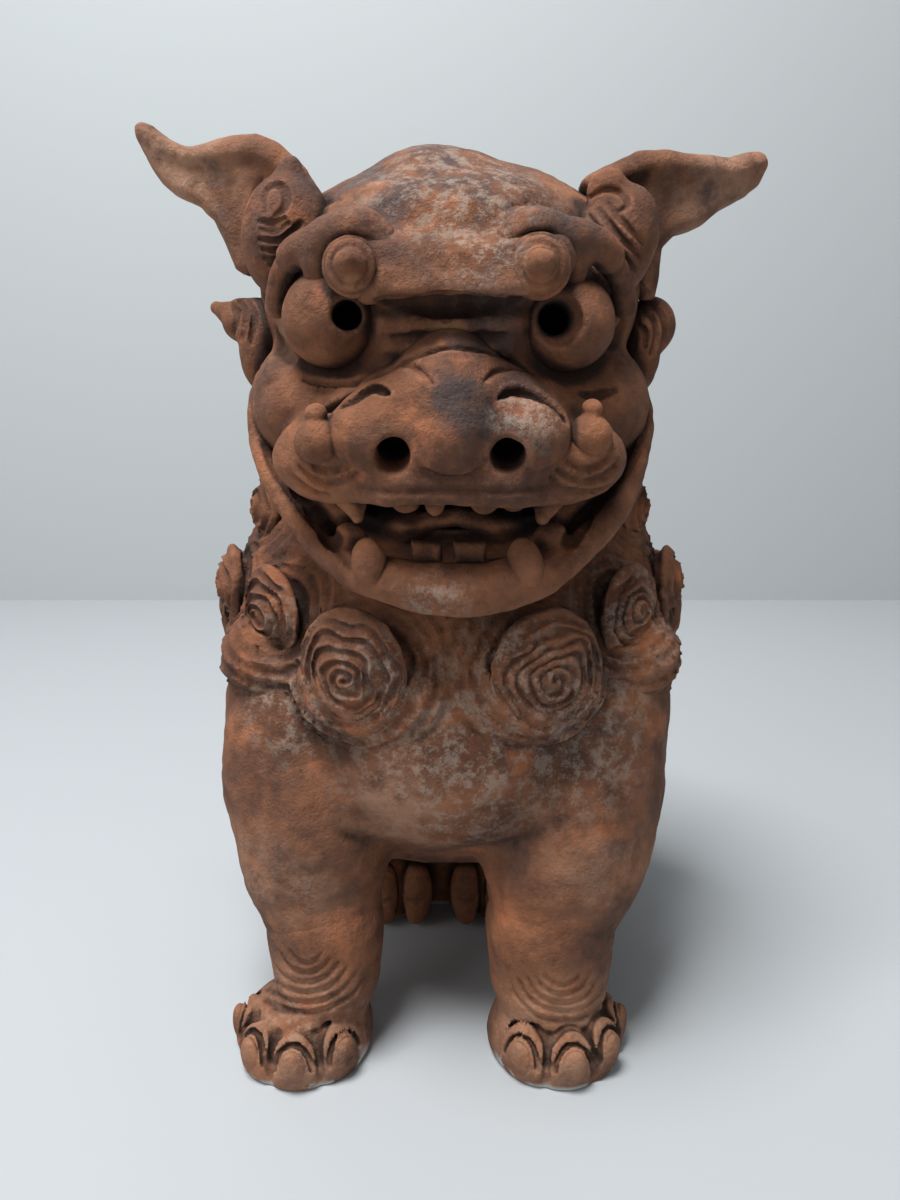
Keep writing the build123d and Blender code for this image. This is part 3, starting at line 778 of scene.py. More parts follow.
# Body: the thrown egg, the two forelegs and the haunches smoothed together
torso_rings = [
    (0.0, 45.8, 56.3, 37.9),
    (28.0, 45.0, 63.8, 43.1),
    (58.0, 18.2, 73.9, 69.1),
    (85.0, 0.8, 81.0, 79.0),
    (115.0, -7.1, 84.0, 75.0),
    (145.0, -10.0, 79.8, 67.1),
    (170.0, -7.9, 70.0, 56.9),
    (190.0, -2.0, 60.0, 45.8),
    (208.0, 6.0, 48.0, 34.0),
    (222.0, 7.9, 34.0, 23.7),
]
clay_wall = 10.0
hollow_count = 6
hollow_floor = -2.0
hollow_top = (160.0, -8.0, 38.0, 28.0)
sides = {"right": -1, "left": 1}

# A leg's axis from the shoulder to the foot, each place with its X, Y and Z and the radius there
foreleg_rings = {
    "right": [
        (-48, -38, 130, 22), (-52, -44, 118, 27), (-52, -49, 92, 29), (-47.5, -61, 64, 24.5),
        (-43.5, -68.7, 45, 19.5), (-43.0, -70, 28, 18.0), (-46, -70, 14, 14),
    ],
    "left": [
        (45, -38, 130, 24), (47, -44, 118, 30), (45, -49, 92, 31), (39.5, -61, 64, 27.5),
        (35.0, -68.7, 45, 22.0), (34.6, -70, 28, 19.8), (36.5, -70, 14, 14),
    ],
}

# Grid steps, fine enough for up to about 200 thousand triangles a piece
body_step, nose_step, head_step, jaw_step, mane_step = 1.75, 0.7, 0.88, 0.9, 1.38
body = Clay((-88, -92, -3), (88, 90, 226), body_step)
body.press(Stack(torso_rings), 0)
for side, sign in sides.items():
    rings = foreleg_rings[side]
    haunch = Egg((sign * 50.4, 39.5, 42), (29.5, 43, 43))
    upper_leg = Egg((sign * 46, -64, 84), (19, 19, 24))
    body.press(Limb([r[:3] for r in rings], [r[3] for r in rings]), 9)
    body.press(haunch, 7)
    body.press(upper_leg, 10)
right_knee = Egg((-53, -64, 68), (13, 14, 17), (10, 0, 0))
left_knee = Egg((46, -67, 66), (15, 14, 17), (10, 0, 0))
chest = Egg((0, -52, 108), (44, 34, 30))
body.press(right_knee, 8)
body.press(left_knee, 8)
body.press(chest, 12)
hollow_rings = [(h or hollow_floor, m, w, d) for h, m, w, d in torso_rings[:hollow_count]] + [hollow_top]
body.carve(Stack(hollow_rings, -clay_wall), 0)
body.level()
body.groove([(337, 833), (352, 838), (387, 842)], 2.0)
body.groove([(475, 847), (510, 842), (550, 828), (590, 804)], 2.4)
fired("body", body, 1.25, ["torso", "foreleg_right", "foreleg_left", "haunch_right", "haunch_left"])

# Nose: a saddle with two wings, each with a nostril bored beside it
wing_creases = [
    [(324, 414), (342, 407), (358, 399), (374, 391), (391, 397)],
    [(497, 400), (512, 394), (530, 397), (548, 406), (563, 421)],
]
bridge_creases = [
    [(402, 366), (412, 367), (424, 374), (434, 385)],
    [(482, 383), (494, 373), (508, 370), (523, 372)],
]
muzzle_edge = [
    (304, 381), (320, 385), (352, 384), (383, 374), (410, 361),
    (450, 349), (480, 352), (505, 361), (530, 373),
]
nostril_pixels = [(392, 459), (509, 459)]
nose_ridge = [(0, -75, 242), (0, -84, 232), (0, -92, 223), (0, -95.5, 215.5)]
nose = Clay((-40, -114, 196), (40, -60, 254), nose_step)
nose.press(Limb(nose_ridge, [9.5, 12.5, 13.5, 12.4]), 0)
for sign in sides.values():
    nose.press(Egg((sign * 13, -82, 226), (15, 13, 9), (0, sign * 16, 0)), 6)
for sign in sides.values():
    nose.press(Egg((sign * 20.5, -91.0, 215.0), (13.6, 12.0, 11.4), (0, 0, sign * 16)), 6)
nose.press(Egg((0, -95, 209.0), (24, 8.5, 5.5)), 4)
bores = []
for start in nose.trace(nostril_pixels):
    bores.append(Limb([start + np.array([0, -3, -0.6]), start + np.array([0, 17, 6])], [5.2, 4.4]))
for bore in bores:
    nose.carve(bore, 1.2)
for line in ([(376, 470), (392, 478), (412, 476)], [(488, 477), (508, 479), (528, 470)]):
    nose.groove(line, 1.8)
nose.groove([(417, 462), (428, 474), (450, 480), (474, 474), (486, 460)], 1.6)
nose.furrows(wing_creases, 2.3, 1.6)
nose.furrows(bridge_creases, 1.2, 0.6)
nose.furrows([muzzle_edge], 1.3, 0.6)
fired("nose", nose)

# Eyes: the middle and radius of each ball, and the place and radius of its pupil
eyes = {
    "right": ((-33.6, -76.5, 246.5), 13.6, (-27.5, 246.8), 4.3),
    "left": ((33.3, -76.5, 245.0), 13.3, (28.0, 246.0), 4.7),
}
pupil_bores = {}
for side, (middle, radius, (x, z), bore) in eyes.items():
    front = middle[1] - radius
    ends = [(x, front - 4, z), (x + (middle[0] - x) * 0.3, middle[1] + 8, z)]
    pupil_bores[side] = Limb(ends, [bore, bore * 0.85])

# Head: skull, muzzle, cheeks and the rolls of skin between the eyes
brow_bar = [(-26, -84, 262), (-10, -87.5, 258), (10, -87.5, 258), (26, -84, 262)]
head_lumps = {
    "skull": (Egg(skull_middle, (59.0, 59.0, 47.5)), 0),
    "crown": (Egg((0, -36, 270), (51, 44, 22)), 7),
    "peak": (Egg((-5, -42, 286), (17, 26, 10)), 7),
    "right_temple": (Egg((-46, -34, 260), (15, 26, 21)), 8),
    "left_temple": (Egg((46, -34, 260), (14, 26, 21)), 8),
    "forehead": (Egg((0, -66, 269), (34, 20, 15)), 8),
    "upper_jaw": (Egg((0, -50, 219), (51, 50, 21.5)), 5),
    "right_cheek": (Egg((-42, -50, 222), (20.5, 30, 20.5)), 6),
    "right_jowl": (Egg((-34.5, -83, 208), (16, 13, 12.5)), 4),
    "left_cheek": (Egg((42, -50, 222), (20.5, 30, 20.5)), 6),
    "left_jowl": (Egg((34.5, -83, 208), (16, 13, 12.5)), 4),
    "muzzle_front": (Egg((0, -92, 207), (30, 11, 9)), 5),
    "brow_bar": (Limb(brow_bar, [8, 9, 9, 8]), 6),
}
head = Clay((-66, -114, 186), (66, 34, 304), head_step)
for shape, blend in head_lumps.values():
    head.press(shape, blend)
forehead_rolls = [
    ([(372, 286), (400, 289), (450, 291), (500, 288), (522, 284)], 9.0, 1.5, 3.5),
    ([(388, 325), (415, 327), (450, 328), (488, 327), (512, 323)], 7.5, 1.2, 2.5),
    ([(392, 346), (420, 348), (450, 345), (482, 348), (505, 345)], 5.0, 1.0, 2.0),
]
for roll in forehead_rolls:
    head.ridge(*roll)
head.groove([(380, 304), (410, 307), (450, 309), (490, 307), (522, 302)], 6.0, 1.0)
head.furrows([[(376, 300), (410, 304), (450, 306), (490, 304), (526, 298)]], 3.0, 1.8)
head.groove([(392, 338), (420, 338), (450, 341), (486, 338), (506, 336)], 2.6)
head.furrows([[(580, 392), (592, 396), (606, 393), (619, 389)]], 1.2, 0.5)
head.furrows(bridge_creases, 1.2, 0.6)
head.groove([(314, 392), (322, 393), (330, 391)], 1.3)
head.groove([(262, 386), (270, 383), (280, 381)], 1.2)
head.furrows(wing_creases, 2.3, 1.6)
head.furrows([muzzle_edge], 1.6, 0.7)
jowl_reaches = (25, 37, 49)
for middle, start, end in (((331, 446), 212, 318), ((586, 444), 222, 330)):
    head.furrows([arc(middle, (reach, reach), start, end) for reach in jowl_reaches], 1.6, 0.3)
head_scratches = [
    ([(262, 300), (272, 290), (282, 276), (292, 268)], 3.6, 1.5),
    ([(275, 330), (278, 345), (292, 360)], 3.0, 1.5),
    ([(608, 345), (622, 330), (628, 308), (630, 290)], 3.0, 1.5),
    ([(300, 215), (320, 205), (345, 200)], 1.4),
    ([(500, 210), (530, 204), (560, 212)], 1.3),
    ([(520, 228), (545, 218), (565, 226)], 1.2),
]
for scratch in head_scratches:
    head.groove(*scratch)
upper_lip_line = [(-33, -86, 200), (-17, -97, 200.5), (0, -100, 201.5), (17, -97, 200.5), (33, -86, 200)]
head.press(Limb(upper_lip_line, [4.0, 4.6, 4.4, 4.6, 4.0]), 3)
head.groove([(352, 486), (390, 492), (450, 490), (510, 492), (556, 484)], 1.6)
palate = Egg((0, -46, 187), (44, 52, 13))
head.carve(palate, 3)
for bore in bores + list(pupil_bores.values()):
    head.carve(bore, 0.8)
fired("head", head, nodes=["skull", "muzzle", "upper_lip", "bridge_wrinkles"])

# Lower jaw: a scoop whose rim turns out as the lower lip
jaw = Clay((-66, -100, 160), (66, 30, 236), jaw_step)
jaw.press(Egg((0, -31, 207), (58, 58, 42)), 0)
throat = Egg((0, -33, 213), (49, 51, 36))
mouth = Egg((0, -80, 214), (50, 40, 27))
above_jaw = Egg((0, -20, 245), (70, 70, 26))
for hollow in (throat, mouth, above_jaw):
    jaw.carve(hollow, 2)
lip_line = [
    (-59, -50, 230), (-60.2, -58, 219), (-56.5, -66, 205), (-49.5, -73, 193), (-39, -80, 182),
    (-26, -85.5, 175), (-12, -89, 172.5), (2, -90.5, 171.5), (15, -88.5, 172), (27, -85, 174.5),
    (40, -79, 182), (51, -71, 192), (58, -64, 206), (60.6, -56, 220), (59, -48, 231),
]
lip_radii = [2.6, 3.0, 3.2, 3.5, 4.4, 6.2, 7.6, 7.8, 7.4, 6.4, 4.6, 3.6, 3.2, 3.0, 2.6]
lip_curve = curve(lip_line, 3)
lip_places = np.linspace(0, len(lip_radii) - 1, len(lip_curve))
jaw.press(Limb(lip_curve, np.interp(lip_places, range(len(lip_radii)), lip_radii)), 4)
jaw.groove([(262, 440), (274, 470), (300, 505), (330, 540), (352, 570)], 1.8)
jaw.groove([(634, 440), (622, 470), (600, 505), (575, 540), (556, 566)], 1.8)

# The corners of the mouth, drawn back in strips that close the wall behind the lip
wall_backs = (6, 12, 18, 24)
wall_narrowing = 0.004
for part in (lip_line[:5], lip_line[-5:]):
    for back in wall_backs:
        jaw.press(Limb([(x * (1 - wall_narrowing * back), y + back, z) for x, y, z in part], 3.4), 3)
for sign in sides.values():
    gum_line = [(sign * 50, -56, 214), (sign * 42, -64, 202), (sign * 32, -72, 191)]
    fang_root = Egg((sign * 30, -80, 184), (5.5, 4, 5))
    jaw.press(Limb(gum_line, [6.5, 7.0, 5]), 3)
    jaw.press(fang_root, 2)

# Notches down the gums, in pixels
for i in range(3):
    jaw.groove([(296 + 15 * i, 488 + 22 * i), (306 + 15 * i, 500 + 22 * i)], 3.2, 1.6)
    jaw.groove([(604 - 14 * i, 488 + 22 * i), (594 - 14 * i, 500 + 22 * i)], 3.0, 1.6)
fired("lower_jaw", jaw, nodes=["lower_jaw", "lower_lip"])

# Eyes: a ball with a bored pupil under each brow
for side, (middle, radius, (x, z), bore) in eyes.items():
    eye = lump([Egg(middle, (radius, radius, radius))], 0.7)
    front = middle[1] - radius
    eye.carve(pupil_bores[side], 1.0)
    if side == "left":
        eye.carve(Egg((x, front + 1, z - 0.5), (bore + 3.2, 5.2, bore + 3.0)), 0.8)
    fired(f"eyeball_{side}", eye, 0.35)

# Brows: a roll over each eye that wraps the knob, and the knob with its nub
knobs = {"right": ((-25.6, -91.5, 258.6), 7.6), "left": ((23.2, -91.0, 258.8), 8.4)}
brow_turns = range(25, 206, 20)
brow_reach = 10.2
brow_radii = [3.0, 4.4, 4.9, 4.8, 4.6, 3.2]
fold_line = [(34, -84, 267), (42, -79, 264), (48, -72, 258), (51, -66, 250)]
fold_radii = [4.4] * 6 + [3.4] * 7
knob_rings = ((0.66, 0.75), (0.93, 0.34))
ring_turns = np.linspace(0, 2 * math.pi, 17)
for side, sign in sides.items():
    middle, radius = knobs[side]
    x, y, z = middle
    line = [(x - sign * 17, y + 9, z + 6)]
    for turn in brow_turns:
        a = math.radians(turn)
        back = 3.0 + 6.0 * max(0, -math.cos(a)) + 3.0 * max(0, -math.sin(a))
        line.append((x - sign * brow_reach * math.cos(a), y + back, z + brow_reach * math.sin(a)))
    line = curve(line, 3)
    radii = np.interp(np.linspace(0, 5, len(line)), range(6), brow_radii)
    fold = curve([(sign * px, py, pz) for px, py, pz in fold_line], 4)
    brow = lump([Limb(line, radii), Limb(fold, fold_radii)], 0.8, 3.0)
    brow.carve(Egg(middle, (radius + 0.5, radius + 0.5, radius + 0.5)), 1.0)
    fired(f"brow_{side}", brow, 0.7)
    knob = lump([Egg(middle, (radius, radius * 0.95, radius))], 0.45)
    for ring, deep in knob_rings:
        reach, front = radius * ring, y - radius * deep
        path = [(x + reach * math.cos(a), front, z + reach * math.sin(a)) for a in ring_turns]
        knob.carve(Limb(path, 1.0), 0.4)
    fired(f"brow_knob_{side}", knob, 0.5)
    front = y - radius
    nub = lump([Limb([(x, front + 2.0, z), (x + sign, front - 2.8, z + 0.4)], [4.0, 2.4])], 0.45, 0)
    fired(f"brow_nub_{side}", nub, 0.4)

# Whisker knobs with a nub above
whiskers = {"right": (-36, -93.0, 213.4), "left": (38.5, -91.0, 214.8)}
for side, (x, y, z) in whiskers.items():
    sign = sides[side]
    nub = Egg((x + sign * 0.5, y + 0.5, z + 7.4), (3.0, 3.4, 2.8))
    knob = lump([Egg((x, y, z), (6.6, 6.2, 6.2)), nub], 0.6, 1.2)
    fired(f"whisker_knob_{side}", knob, 0.4)


def across(u, v, y):
    """A place behind a pixel, on the upright plane at y: its X and Z."""
    ray = pixel_ray(u, v)
    t = (y - camera_place[1]) / ray[1]
    place = camera_place + ray * t
    return place[0], place[2]


# Ears: a lobe drawn out to a point, thin at the rim and pressed hollow in front
ear_plane = -34
ear_outlines = {
    "right": [
        (322, 196), (306, 172), (284, 150), (262, 141), (236, 141), (210, 147), (188, 150), (170, 140),
        (152, 124), (138, 118), (129, 122), (130, 136), (142, 158), (158, 182), (176, 196), (200, 206),
        (218, 222), (230, 248), (238, 272), (250, 279), (264, 272), (270, 240), (296, 240),
    ],
    "left": [
        (576, 190), (596, 178), (630, 158), (662, 153), (698, 158), (724, 158), (748, 151), (765, 152),
        (771, 165), (764, 182), (748, 196), (720, 212), (700, 228), (672, 236), (658, 250), (654, 280),
        (650, 301), (638, 302), (630, 288), (634, 262), (642, 240), (600, 236),
    ],
}
ear_hollows = {
    "right": Limb([(-66, -52, 276), (-72, -50, 288), (-82, -45, 293), (-92, -40, 300)], [7.5, 8, 6.5, 3.5]),
    "left": Limb([(64, -52, 268), (70, -50, 280), (80, -46, 286)], [6.5, 7, 4.5]),
}


def ear_lean(x):
    """The middle of the ear, which leans back towards its tip."""
    return -40 + (np.abs(x) - 50) * 0.24


def ear_half_thickness(x):
    return np.interp(np.abs(x), [40, 60, 80, 104], [8.5, 7.0, 5.6, 3.8])


for side, outline in ear_outlines.items():
    slab = Slab([across(u, v, ear_plane) for u, v in outline], ear_lean, ear_half_thickness, 3.4)
    ear = block_round([slab], 0.9)
    ear.press(slab, 0)
    ear.carve(ear_hollows[side], 4)
    if side == "right":
        ear.ridge([(296, 176), (270, 156), (240, 150), (200, 156), (170, 150), (142, 130)], 4.5, 1.0, 3)
        ear.groove([(262, 178), (256, 200), (254, 226)], 2.4)
    else:
        ear.ridge([(600, 186), (640, 168), (690, 166), (730, 170), (758, 164)], 5.0, 1.0, 3)
        ear.groove([(586, 202), (612, 192), (636, 182), (652, 172)], 3.4, 1.2)
        ear.ridge([(612, 198), (630, 206), (640, 222), (632, 240)], 6.0, -1.0, 2)
        ear.groove([(620, 214), (624, 232), (626, 250)], 2.0)
    fired(f"ear_{side}", ear, 0.9)

# Tufts at the roots of the ears, with furrows drawn round them
tufts = {
    "right": [
        Egg((-47.5, -62, 270), (13, 13, 17.5), (0, 10, 0)),
        Egg((-46, -64, 284), (4.5, 3.5, 7.5), (0, 14, 0)),
    ],
    "left": [Egg((47, -62, 267), (12.5, 13, 18), (0, 24, 0)), Egg((45, -65, 281), (6, 4.5, 6.5))],
}
tuft_lines = {
    "right": [
        [(259, 221), (272, 223), (284, 218)], [(261, 229), (274, 231), (288, 223)],
        [(259, 239), (277, 241), (292, 232), (301, 223)], [(262, 249), (279, 251), (296, 242), (308, 230)],
        [(264, 258), (281, 260), (300, 248), (314, 236)], [(269, 265), (284, 267), (302, 257), (316, 246)],
        [(264, 212), (262, 198), (268, 186), (280, 184), (287, 196), (284, 208), (274, 216)],
    ],
    "left": [
        [(574, 232), (596, 262), (622, 288)], [(581, 224), (604, 254), (630, 280)],
        [(589, 216), (612, 245), (636, 270)], [(598, 209), (620, 236), (641, 257)],
        [(608, 203), (627, 226), (643, 244)], [(590, 198), (604, 190), (620, 192), (628, 204), (618, 212)],
    ],
}
for side, shapes in tufts.items():
    tuft = lump(shapes, 0.5, 2.0)
    tuft.furrows(tuft_lines[side], 1.25)
    fired(f"ear_tuft_{side}", tuft, 0.6)

# Curls behind the cheeks
temples = {
    "right": [
        Limb([(-60, -36, 246), (-68, -33, 248), (-77, -30, 252)], [9, 7.5, 2.6]),
        Egg((-63, -38, 240), (6, 7, 14)),
    ],
    "left": [Egg((66, -32, 246), (8.5, 8, 9.5)), Egg((63, -36, 238), (6, 7, 13))],
}
temple_lines = {
    "right": [[(231, 300), (236, 315), (232, 334)], [(239, 297), (245, 316), (241, 340)],
              [(247, 300), (254, 318), (250, 344)]],
    "left": [[(637, 322), (645, 332), (645, 347)], [(643, 311), (654, 320), (656, 336), (651, 354)],
             [(650, 303), (662, 315), (665, 334), (659, 354)]],
}
for side, shapes in temples.items():
    curl = lump(shapes, 0.6, 3.0)
    curl.furrows(temple_lines[side], 1.3)
    fired(f"temple_curl_{side}", curl, 0.6)

# Teeth and tongue
tooth_rough = 0.4
incisor_y, incisor_thickness = -86.0, 3.4
upper_teeth = [
    Egg((-12.6, -89, 197.4), (4.6, 3.4, 4.4)),
    Egg((-4.2, -91.5, 197.2), (3.2, 3.2, 4.8)),
    Egg((9.6, -91, 197.4), (4.6, 3.4, 4.4)),
    Egg((18.0, -88, 197.6), (4.4, 3.4, 4.2)),
]
upper_fangs = [Limb([(s * 29, -84, 200), (s * 26.5, -87.5, 191.5)], [7.2, 1.9]) for s in sides.values()]
incisor_outlines = [
    [(-11.8, 178), (-11.4, 185.0), (-2.2, 184.0), (-1.9, 178)],
    [(0.6, 178), (0.6, 184.8), (10.6, 184.2), (10.8, 178)],
]
lower_teeth = [
    Slab(ring, lambda x: incisor_y + 0 * x, lambda x: incisor_thickness + 0 * x, 2.1)
    for ring in incisor_outlines
]
lower_fangs = [
    Egg((-23.2, -90.6, 179.4), (5.2, 4.6, 7.2), (-12, -6, 0)),
    Egg((21.6, -90.4, 178.6), (5.0, 4.6, 7.6), (-12, -12, 0)),
]
fired("upper_teeth", lump(upper_teeth, 0.6, 0.4), tooth_rough)
fired("upper_fangs", lump(upper_fangs, 0.6, 0), tooth_rough)
fired("lower_teeth", lump(lower_teeth, 0.5, 0), tooth_rough)
fired("lower_fangs", lump(lower_fangs, 0.6, 0), tooth_rough)
tongue_tip = [(-13, -78, 184.5), (-6, -81, 189.5), (2, -82, 191), (9, -81, 189), (15, -78, 184.5)]
tongue_parts = [
    Egg((-14, -66, 188), (11, 18, 5.5), (0, 0, 8)),
    Egg((15, -66, 188), (11, 18, 5.5), (0, 0, -8)),
    Limb(tongue_tip, [2.6, 3.0, 3.2, 3.0, 2.6]),
]
fired("tongue", lump(tongue_parts, 0.8, 2.0), 0.6)

# Mane: a slab round the neck and up the back of the head, combed in waves round the whorls
mane_rings = [
    (115.0, -7.1, 85.3, 77.0),
    (133.2, -8.7, 85.7, 76.2),
    (159.8, -8.7, 79.8, 66.4),
    (186.5, -3.2, 68.0, 53.7),
    (208.7, 3.2, 58.0, 42.7),
    (230.9, 7.1, 53.8, 34.8),
    (253.1, 4.0, 50.4, 34.0),
    (270.8, 0.8, 42.0, 30.8),
    (286.4, -3.2, 26.9, 20.5),
    (291.9, -4.7, 13.4, 11.1),
]
mane_heights, mane_middles, mane_widths, mane_depths = np.array(mane_rings).T


def mane_place(angle, height):
    """A place on the mane: angle 0 is the front, 90 the lion's left, 180 the back."""
    a = math.radians(angle)
    middle, width, depth = (
        np.interp(height, mane_heights, values) for values in (mane_middles, mane_widths, mane_depths)
    )
    return np.array([width * math.sin(a), middle - depth * math.cos(a), height])


# Each whorl of a side: its name, its angle round the mane, its height and its radius
whorl_rows = [
    ("bib_whorl", 20, 142.0, 19.0),
    ("shoulder_whorl", 45, 155.4, 14.5),
    ("cheek_curl", 68, 184.3, 11.5),
    ("neck_curl", 74, 157.6, 12.5),
    ("side_whorl", 100, 142.0, 18.5),
    ("rear_whorl", 138, 146.5, 17.5),
]
whorls = []
for name, angle, height, radius in whorl_rows:
    for side, sign in sides.items():
        whorls.append((f"{name}_{side}", sign * angle, height, radius))
whorls += [("nape_whorl", 180, 239.8, 19.0), ("back_whorl", 180, 190.9, 17.0)]
loose_whorls = ((158, 170), (120, 178), (150, 215), (128, 245), (165, 268))
whorl_middles = [mane_place(angle, height) for _, angle, height, _ in whorls]
whorl_middles += [mane_place(s * angle, height) for angle, height in loose_whorls for s in (1, -1)]

# The pitch and the depth of the furrows, and how far a whorl stands out of the mane
comb_pitch, comb_depth = 4.6, 1.5
whorl_pitch, whorl_depth = 3.5, 1.3
whorl_rise, common_rise = {"bib_whorl": 4.0, "shoulder_whorl": 2.0}, 0.5
disc_thickness, crown_thickness = 4.6, 6.6
rib_share = 0.35


def sway(points, rows):
    """How far the hand strays from a true line, from rows of spacing, height and noise number."""
    return sum(lattice_noise(points, spacing, number) * height for spacing, height, number in rows)


def combed(reach, pitch):
    """The rise of the clay along its waves: broad ribs with narrow furrows between them."""
    wave = np.cos(reach * 2 * math.pi / pitch)
    return rib_share - (1 - rib_share) * wave - rib_share * np.abs(wave)


mane = Clay((-90, -90, 112), (90, 74, 296), mane_step)
mane.press(Stack(mane_rings), 0)
for sign in sides.values():
    bib = Egg((sign * 27, -76, 134), (24, 11, 17), (0, 0, sign * 14))
    shoulder = Egg((sign * 60, -52, 138), (18, 16, 17))
    mane.press(bib, 5)
    mane.press(shoulder, 5)
near_skin, points = mane.skin()
nearest = np.min([np.linalg.norm(points - middle, axis=1) for middle in whorl_middles], axis=0)
waves = combed(nearest + sway(points, ((9.0, 2.2, 21), (4.5, 0.8, 22))), comb_pitch)
mane.field[near_skin] += (comb_depth * waves).astype(np.float32)
jaw_room = Egg((0, -31, 207), (57, 57, 41))
mane.carve(jaw_room, 1)
fired("mane_collar", mane)

# Whorls: a disc with a raised middle, combed along a spiral
for label, angle, height, radius in whorls:
    rise = whorl_rise.get(label.rsplit("_", 1)[0], common_rise)
    away = math.radians(angle)
    middle = mane_place(angle, height) + rise * np.array([math.sin(away), -math.cos(away), 0])
    turn = (0, 0, angle)
    rim = Egg(middle, (radius, disc_thickness, radius * 1.12), turn)
    crown = Egg(middle, (radius * 0.66, crown_thickness, radius * 0.74), turn)
    disc = lump([rim, crown], 0.7, 3.0)
    near_skin, points = disc.skin()
    dx, _, dz = turned(*points.T, middle, turn)
    spread = np.sqrt(dx**2 + dz**2)
    hand = -1 if label.endswith("right") else 1
    strayed = spread + sway(points, ((8.0, 2.4, 31), (4.0, 0.9, 32)))
    spiral = strayed + hand * np.arctan2(dz, dx) / (2 * math.pi) * whorl_pitch
    deep = whorl_depth * np.clip((radius * 1.1 - spread) / 4, 0.2, 1)
    disc.field[near_skin] += (deep * combed(spiral, whorl_pitch)).astype(np.float32)
    fired(label, disc, 0.7)

# Forepaws: an ankle with furrowed fur, a pad with four toes, and a nail pressed on each
paws = {"right": (-51.2, -73.5), "left": (37.0, -73.5)}
toe_angles = {"right": (88, 44, 2, -44), "left": (88, 50, 10, -36)}
ankle_swell = 0.9
ankle_arcs = {
    "right": [arc((306, 946), (reach, reach), 196, 332) for reach in (17, 27, 37, 47, 57, 67)],
    "left": [arc((562, 972), (reach + 4, reach), 192, 345) for reach in (13, 22, 31, 40, 49)],
}
nail_radii = (4.7, 3.0, 7.4)
toe_reach, tip_reach, tip_height = 15.0, 22.8, 8.4

# The two hoods over each nail: half width, how far back, how high, and the radius of the furrow
nail_hoods = ((6.2, 0.8, 9.0, 1.1), (8.2, 4.2, 13.0, 1.2))
for side, sign in sides.items():
    x, y = paws[side]
    foot = np.array([x, y, 0])
    low_leg = foreleg_rings[side][-3:]
    ankle = Limb([r[:3] for r in low_leg], [r[3] + ankle_swell for r in low_leg])
    toes, nails, ways = [], [], []
    for angle in toe_angles[side]:
        a = math.radians(angle)
        way = np.array([sign * math.sin(a), -math.cos(a), 0])
        ways.append(way)
        spot = foot + way * toe_reach
        toes.append(Egg(tuple(spot + (0, 0, 7.0)), (8.6, 8.6, 10.5)))
        toes.append(Limb([spot - way * 9 + (0, 0, 15), spot + (0, 0, 10)], [6.5, 8.0]))
        facing = math.degrees(math.atan2(way[1], way[0])) + 90
        nails.append(Egg(tuple(spot + way * 7.4 + (0, 0, tip_height)), nail_radii, (8, 0, facing)))
    paw = block_round([ankle, Egg((x, y, 6), (27, 27, 18))] + toes, 0.72)
    paw.press(ankle, 0)
    paw.press(Egg((x, y, 5.5), (23.5, 23.5, 17)), 6)
    for shape in toes:
        paw.press(shape, 3.4)
    paw.furrows(ankle_arcs[side], 1.3)
    for way in ways:
        aside = np.array([-way[1], way[0], 0])
        tip = foot + way * tip_reach + (0, 0, tip_height)
        for reach, back, rise, radius in nail_hoods:
            line = []
            for turn in range(170, 9, -16):
                b = math.radians(turn)
                lean = -way * (back + 2.2 * math.sin(b) ** 2)
                lift = np.array([0, 0, rise * math.sin(b) - 1.5])
                line.append(tip + lean + aside * reach * math.cos(b) + lift)
            paw.carve(Limb(line, radius), 0.6)
    for first, second in zip(ways, ways[1:]):
        way = (first + second) / np.linalg.norm(first + second)
        gap = [foot + way * reach + (0, 0, height) for reach, height in ((17, 17), (22, 10), (24, 1))]
        paw.carve(Limb(gap, 1.2), 1.8)
    paw.level()
    fired(f"forepaw_{side}", paw, 0.8)
    claws = lump(nails, 0.55, 0)
    claws.level()
    fired(f"fore_claws_{side}", claws, 0.3)

# Hind paws: a pad with three tall toes, each creased across the middle
hind_paws = {"right": (-27.7, 19.0), "left": (20.2, 19.0)}
hind_pitch = 13.3

# The creases across a hind toe: half width, depth and height at the ends and in the middle, and the radius
toe_creases = ((7, 6.2, 15.2, 7.9, 14.4, 1.5), (6, 5.0, 23, 5.4, 26, 1.2))
for side, (x, y) in hind_paws.items():
    pad = lump([Egg((x, y, 14), (22, 27, 22)), Egg((x, y + 4, 24), (20, 20, 12))], 1.0, 4)
    pad.level()
    fired(f"hindpaw_{side}", pad, 0.8)
    spots = [(x + (i - 1) * hind_pitch, y - 22.2) for i in range(3)]
    toes = lump([Egg((tx, ty, 14.5), (6.9, 7.6, 14.0)) for tx, ty in spots], 0.55, 0.6)
    for tx, ty in spots:
        for wide, end_deep, end_height, deep, height, radius in toe_creases:
            left, right = ((tx + s * wide, ty - end_deep, end_height) for s in (-1, 1))
            toes.carve(Limb([left, (tx, ty - deep, height), right], radius), 0.5)
    toes.level()
    fired(f"hind_toes_{side}", toes, 0.6)
    claws = lump([Egg((tx, ty - 4.6, 8.0), (4.6, 3.0, 6.4)) for tx, ty in spots], 0.6, 0)
    claws.level()
    fired(f"hind_claws_{side}", claws, 0.3)

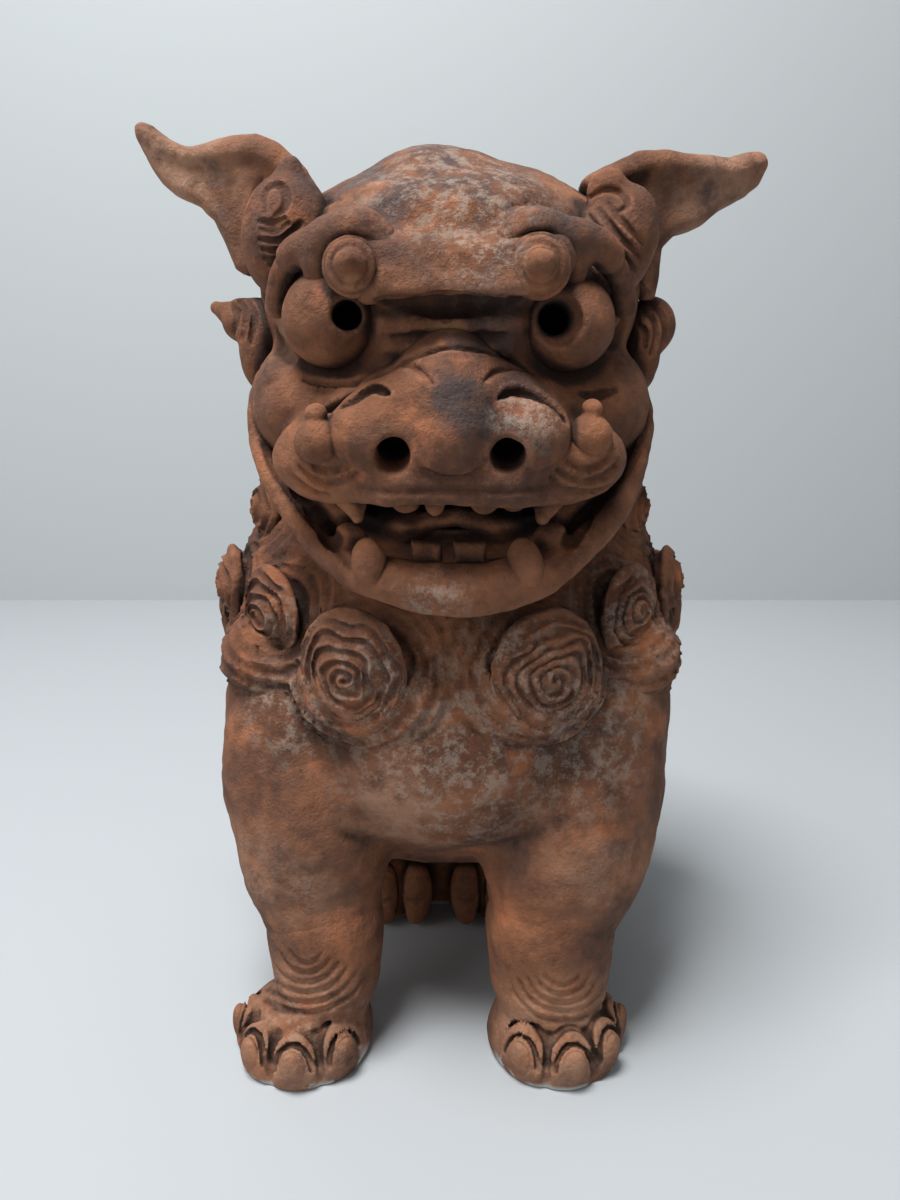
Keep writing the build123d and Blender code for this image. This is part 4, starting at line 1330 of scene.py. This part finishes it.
# Tail: a plume against the back, combed upward, with a curl at each side
tail_line = [(0, 71, 9), (0, 84, 49), (0, 84, 93), (0, 74.5, 129), (0, 66.5, 160)]
tail_radii = [9, 12.5, 14.5, 12.5, 4.5]
rib_pitch = 6.0
tail = lump([Limb(curve(tail_line, 4), np.interp(np.linspace(0, 4, 17), range(5), tail_radii))], 1.0, 0)
for i in range(-2, 3):
    path = []
    for k, (_, y, z) in enumerate(tail_line):
        path.append((rib_pitch * i * (1 - 0.15 * abs(k - 2)), y + 14.0 - 0.9 * abs(i) ** 2, z))
    tail.carve(Limb(curve(path, 4), 1.5), 1.2)
tail.level()
fired("tail", tail)
curl_x, curl_y, curl_z = 19, 79, 80
curls = lump([Egg((s * curl_x, curl_y, curl_z), (13, 13, 16.5)) for s in sides.values()], 0.9, 0)
for s in sides.values():
    for i in range(3):
        ring = []
        for a in np.linspace(0, 2 * math.pi, 15):
            across_x = (4 + 3.6 * i) * math.cos(a) * 0.9
            ring.append((s * curl_x + across_x, curl_y + 13 - 1.2 * i, curl_z + (4 + 4.4 * i) * math.sin(a)))
        curls.carve(Limb(ring, 1.1), 0.8)
fired("tail_curls", curls, 0.7)


# Floor and backdrop


def plain(name, colour, rough):
    material = bpy.data.materials.new(name)
    material.use_nodes = True
    shader = material.node_tree.nodes["Principled BSDF"]
    shader.inputs["Base Color"].default_value = (*colour, 1)
    shader.inputs["Roughness"].default_value = rough
    return material


def sheet(name, corners, colour):
    mesh = bpy.data.meshes.new(name)
    mesh.from_pydata(corners, [], [(0, 1, 2, 3)])
    mesh.materials.append(plain(name, colour, 0.8))
    stage = bpy.data.objects.new(name, mesh)
    bpy.context.collection.objects.link(stage)
    return stage


wall_y, wall_height, reach = 0.54, 3, 4
floor_corners = [(-reach, -reach, 0), (reach, -reach, 0), (reach, wall_y, 0), (-reach, wall_y, 0)]
wall_outline = ((-reach, 0), (reach, 0), (reach, wall_height), (-reach, wall_height))
wall_corners = [(x, wall_y, z) for x, z in wall_outline]
sheet("floor", floor_corners, (0.43, 0.455, 0.475))
sheet("backdrop", wall_corners, (0.46, 0.49, 0.50))


def lamp(name, place, size, power):
    """A square lamp that shines on the middle of the lion."""
    data = bpy.data.lights.new(name, "AREA")
    data.shape = "SQUARE"
    data.size = size
    data.energy = power
    light = bpy.data.objects.new(name, data)
    light.location = place
    light.rotation_euler = (Vector(lamp_aim) - Vector(place)).to_track_quat("-Z", "Y").to_euler()
    bpy.context.collection.objects.link(light)


lamp_aim = (0, 0, 0.15)
lamp("key", (-0.25, -0.30, 1.35), 0.45, 24.0)
lamp("fill", (-0.9, -0.7, 0.7), 0.8, 3.6)
world = bpy.data.worlds.new("studio")
world.use_nodes = True
background = world.node_tree.nodes["Background"]
background.inputs["Color"].default_value = (0.98, 0.99, 1.0, 1)
background.inputs["Strength"].default_value = 0.27
bpy.context.scene.world = world
bpy.context.scene.view_settings.view_transform = "Standard"

# The camera of the photograph
lens_data = bpy.data.cameras.new("photo_camera")
lens_data.sensor_width = 36.0
lens_data.lens = focal_pixels / photo_height * lens_data.sensor_width
lens_data.clip_start = 0.01
camera = bpy.data.objects.new("photo_camera", lens_data)
camera.location = (camera_place[0] / 1000, (camera_place[1] + shift_y) / 1000, camera_place[2] / 1000)
camera.rotation_euler = (math.radians(90) - camera_pitch, 0, 0)
bpy.context.collection.objects.link(camera)
bpy.context.scene.camera = camera

settle_nook_shade()
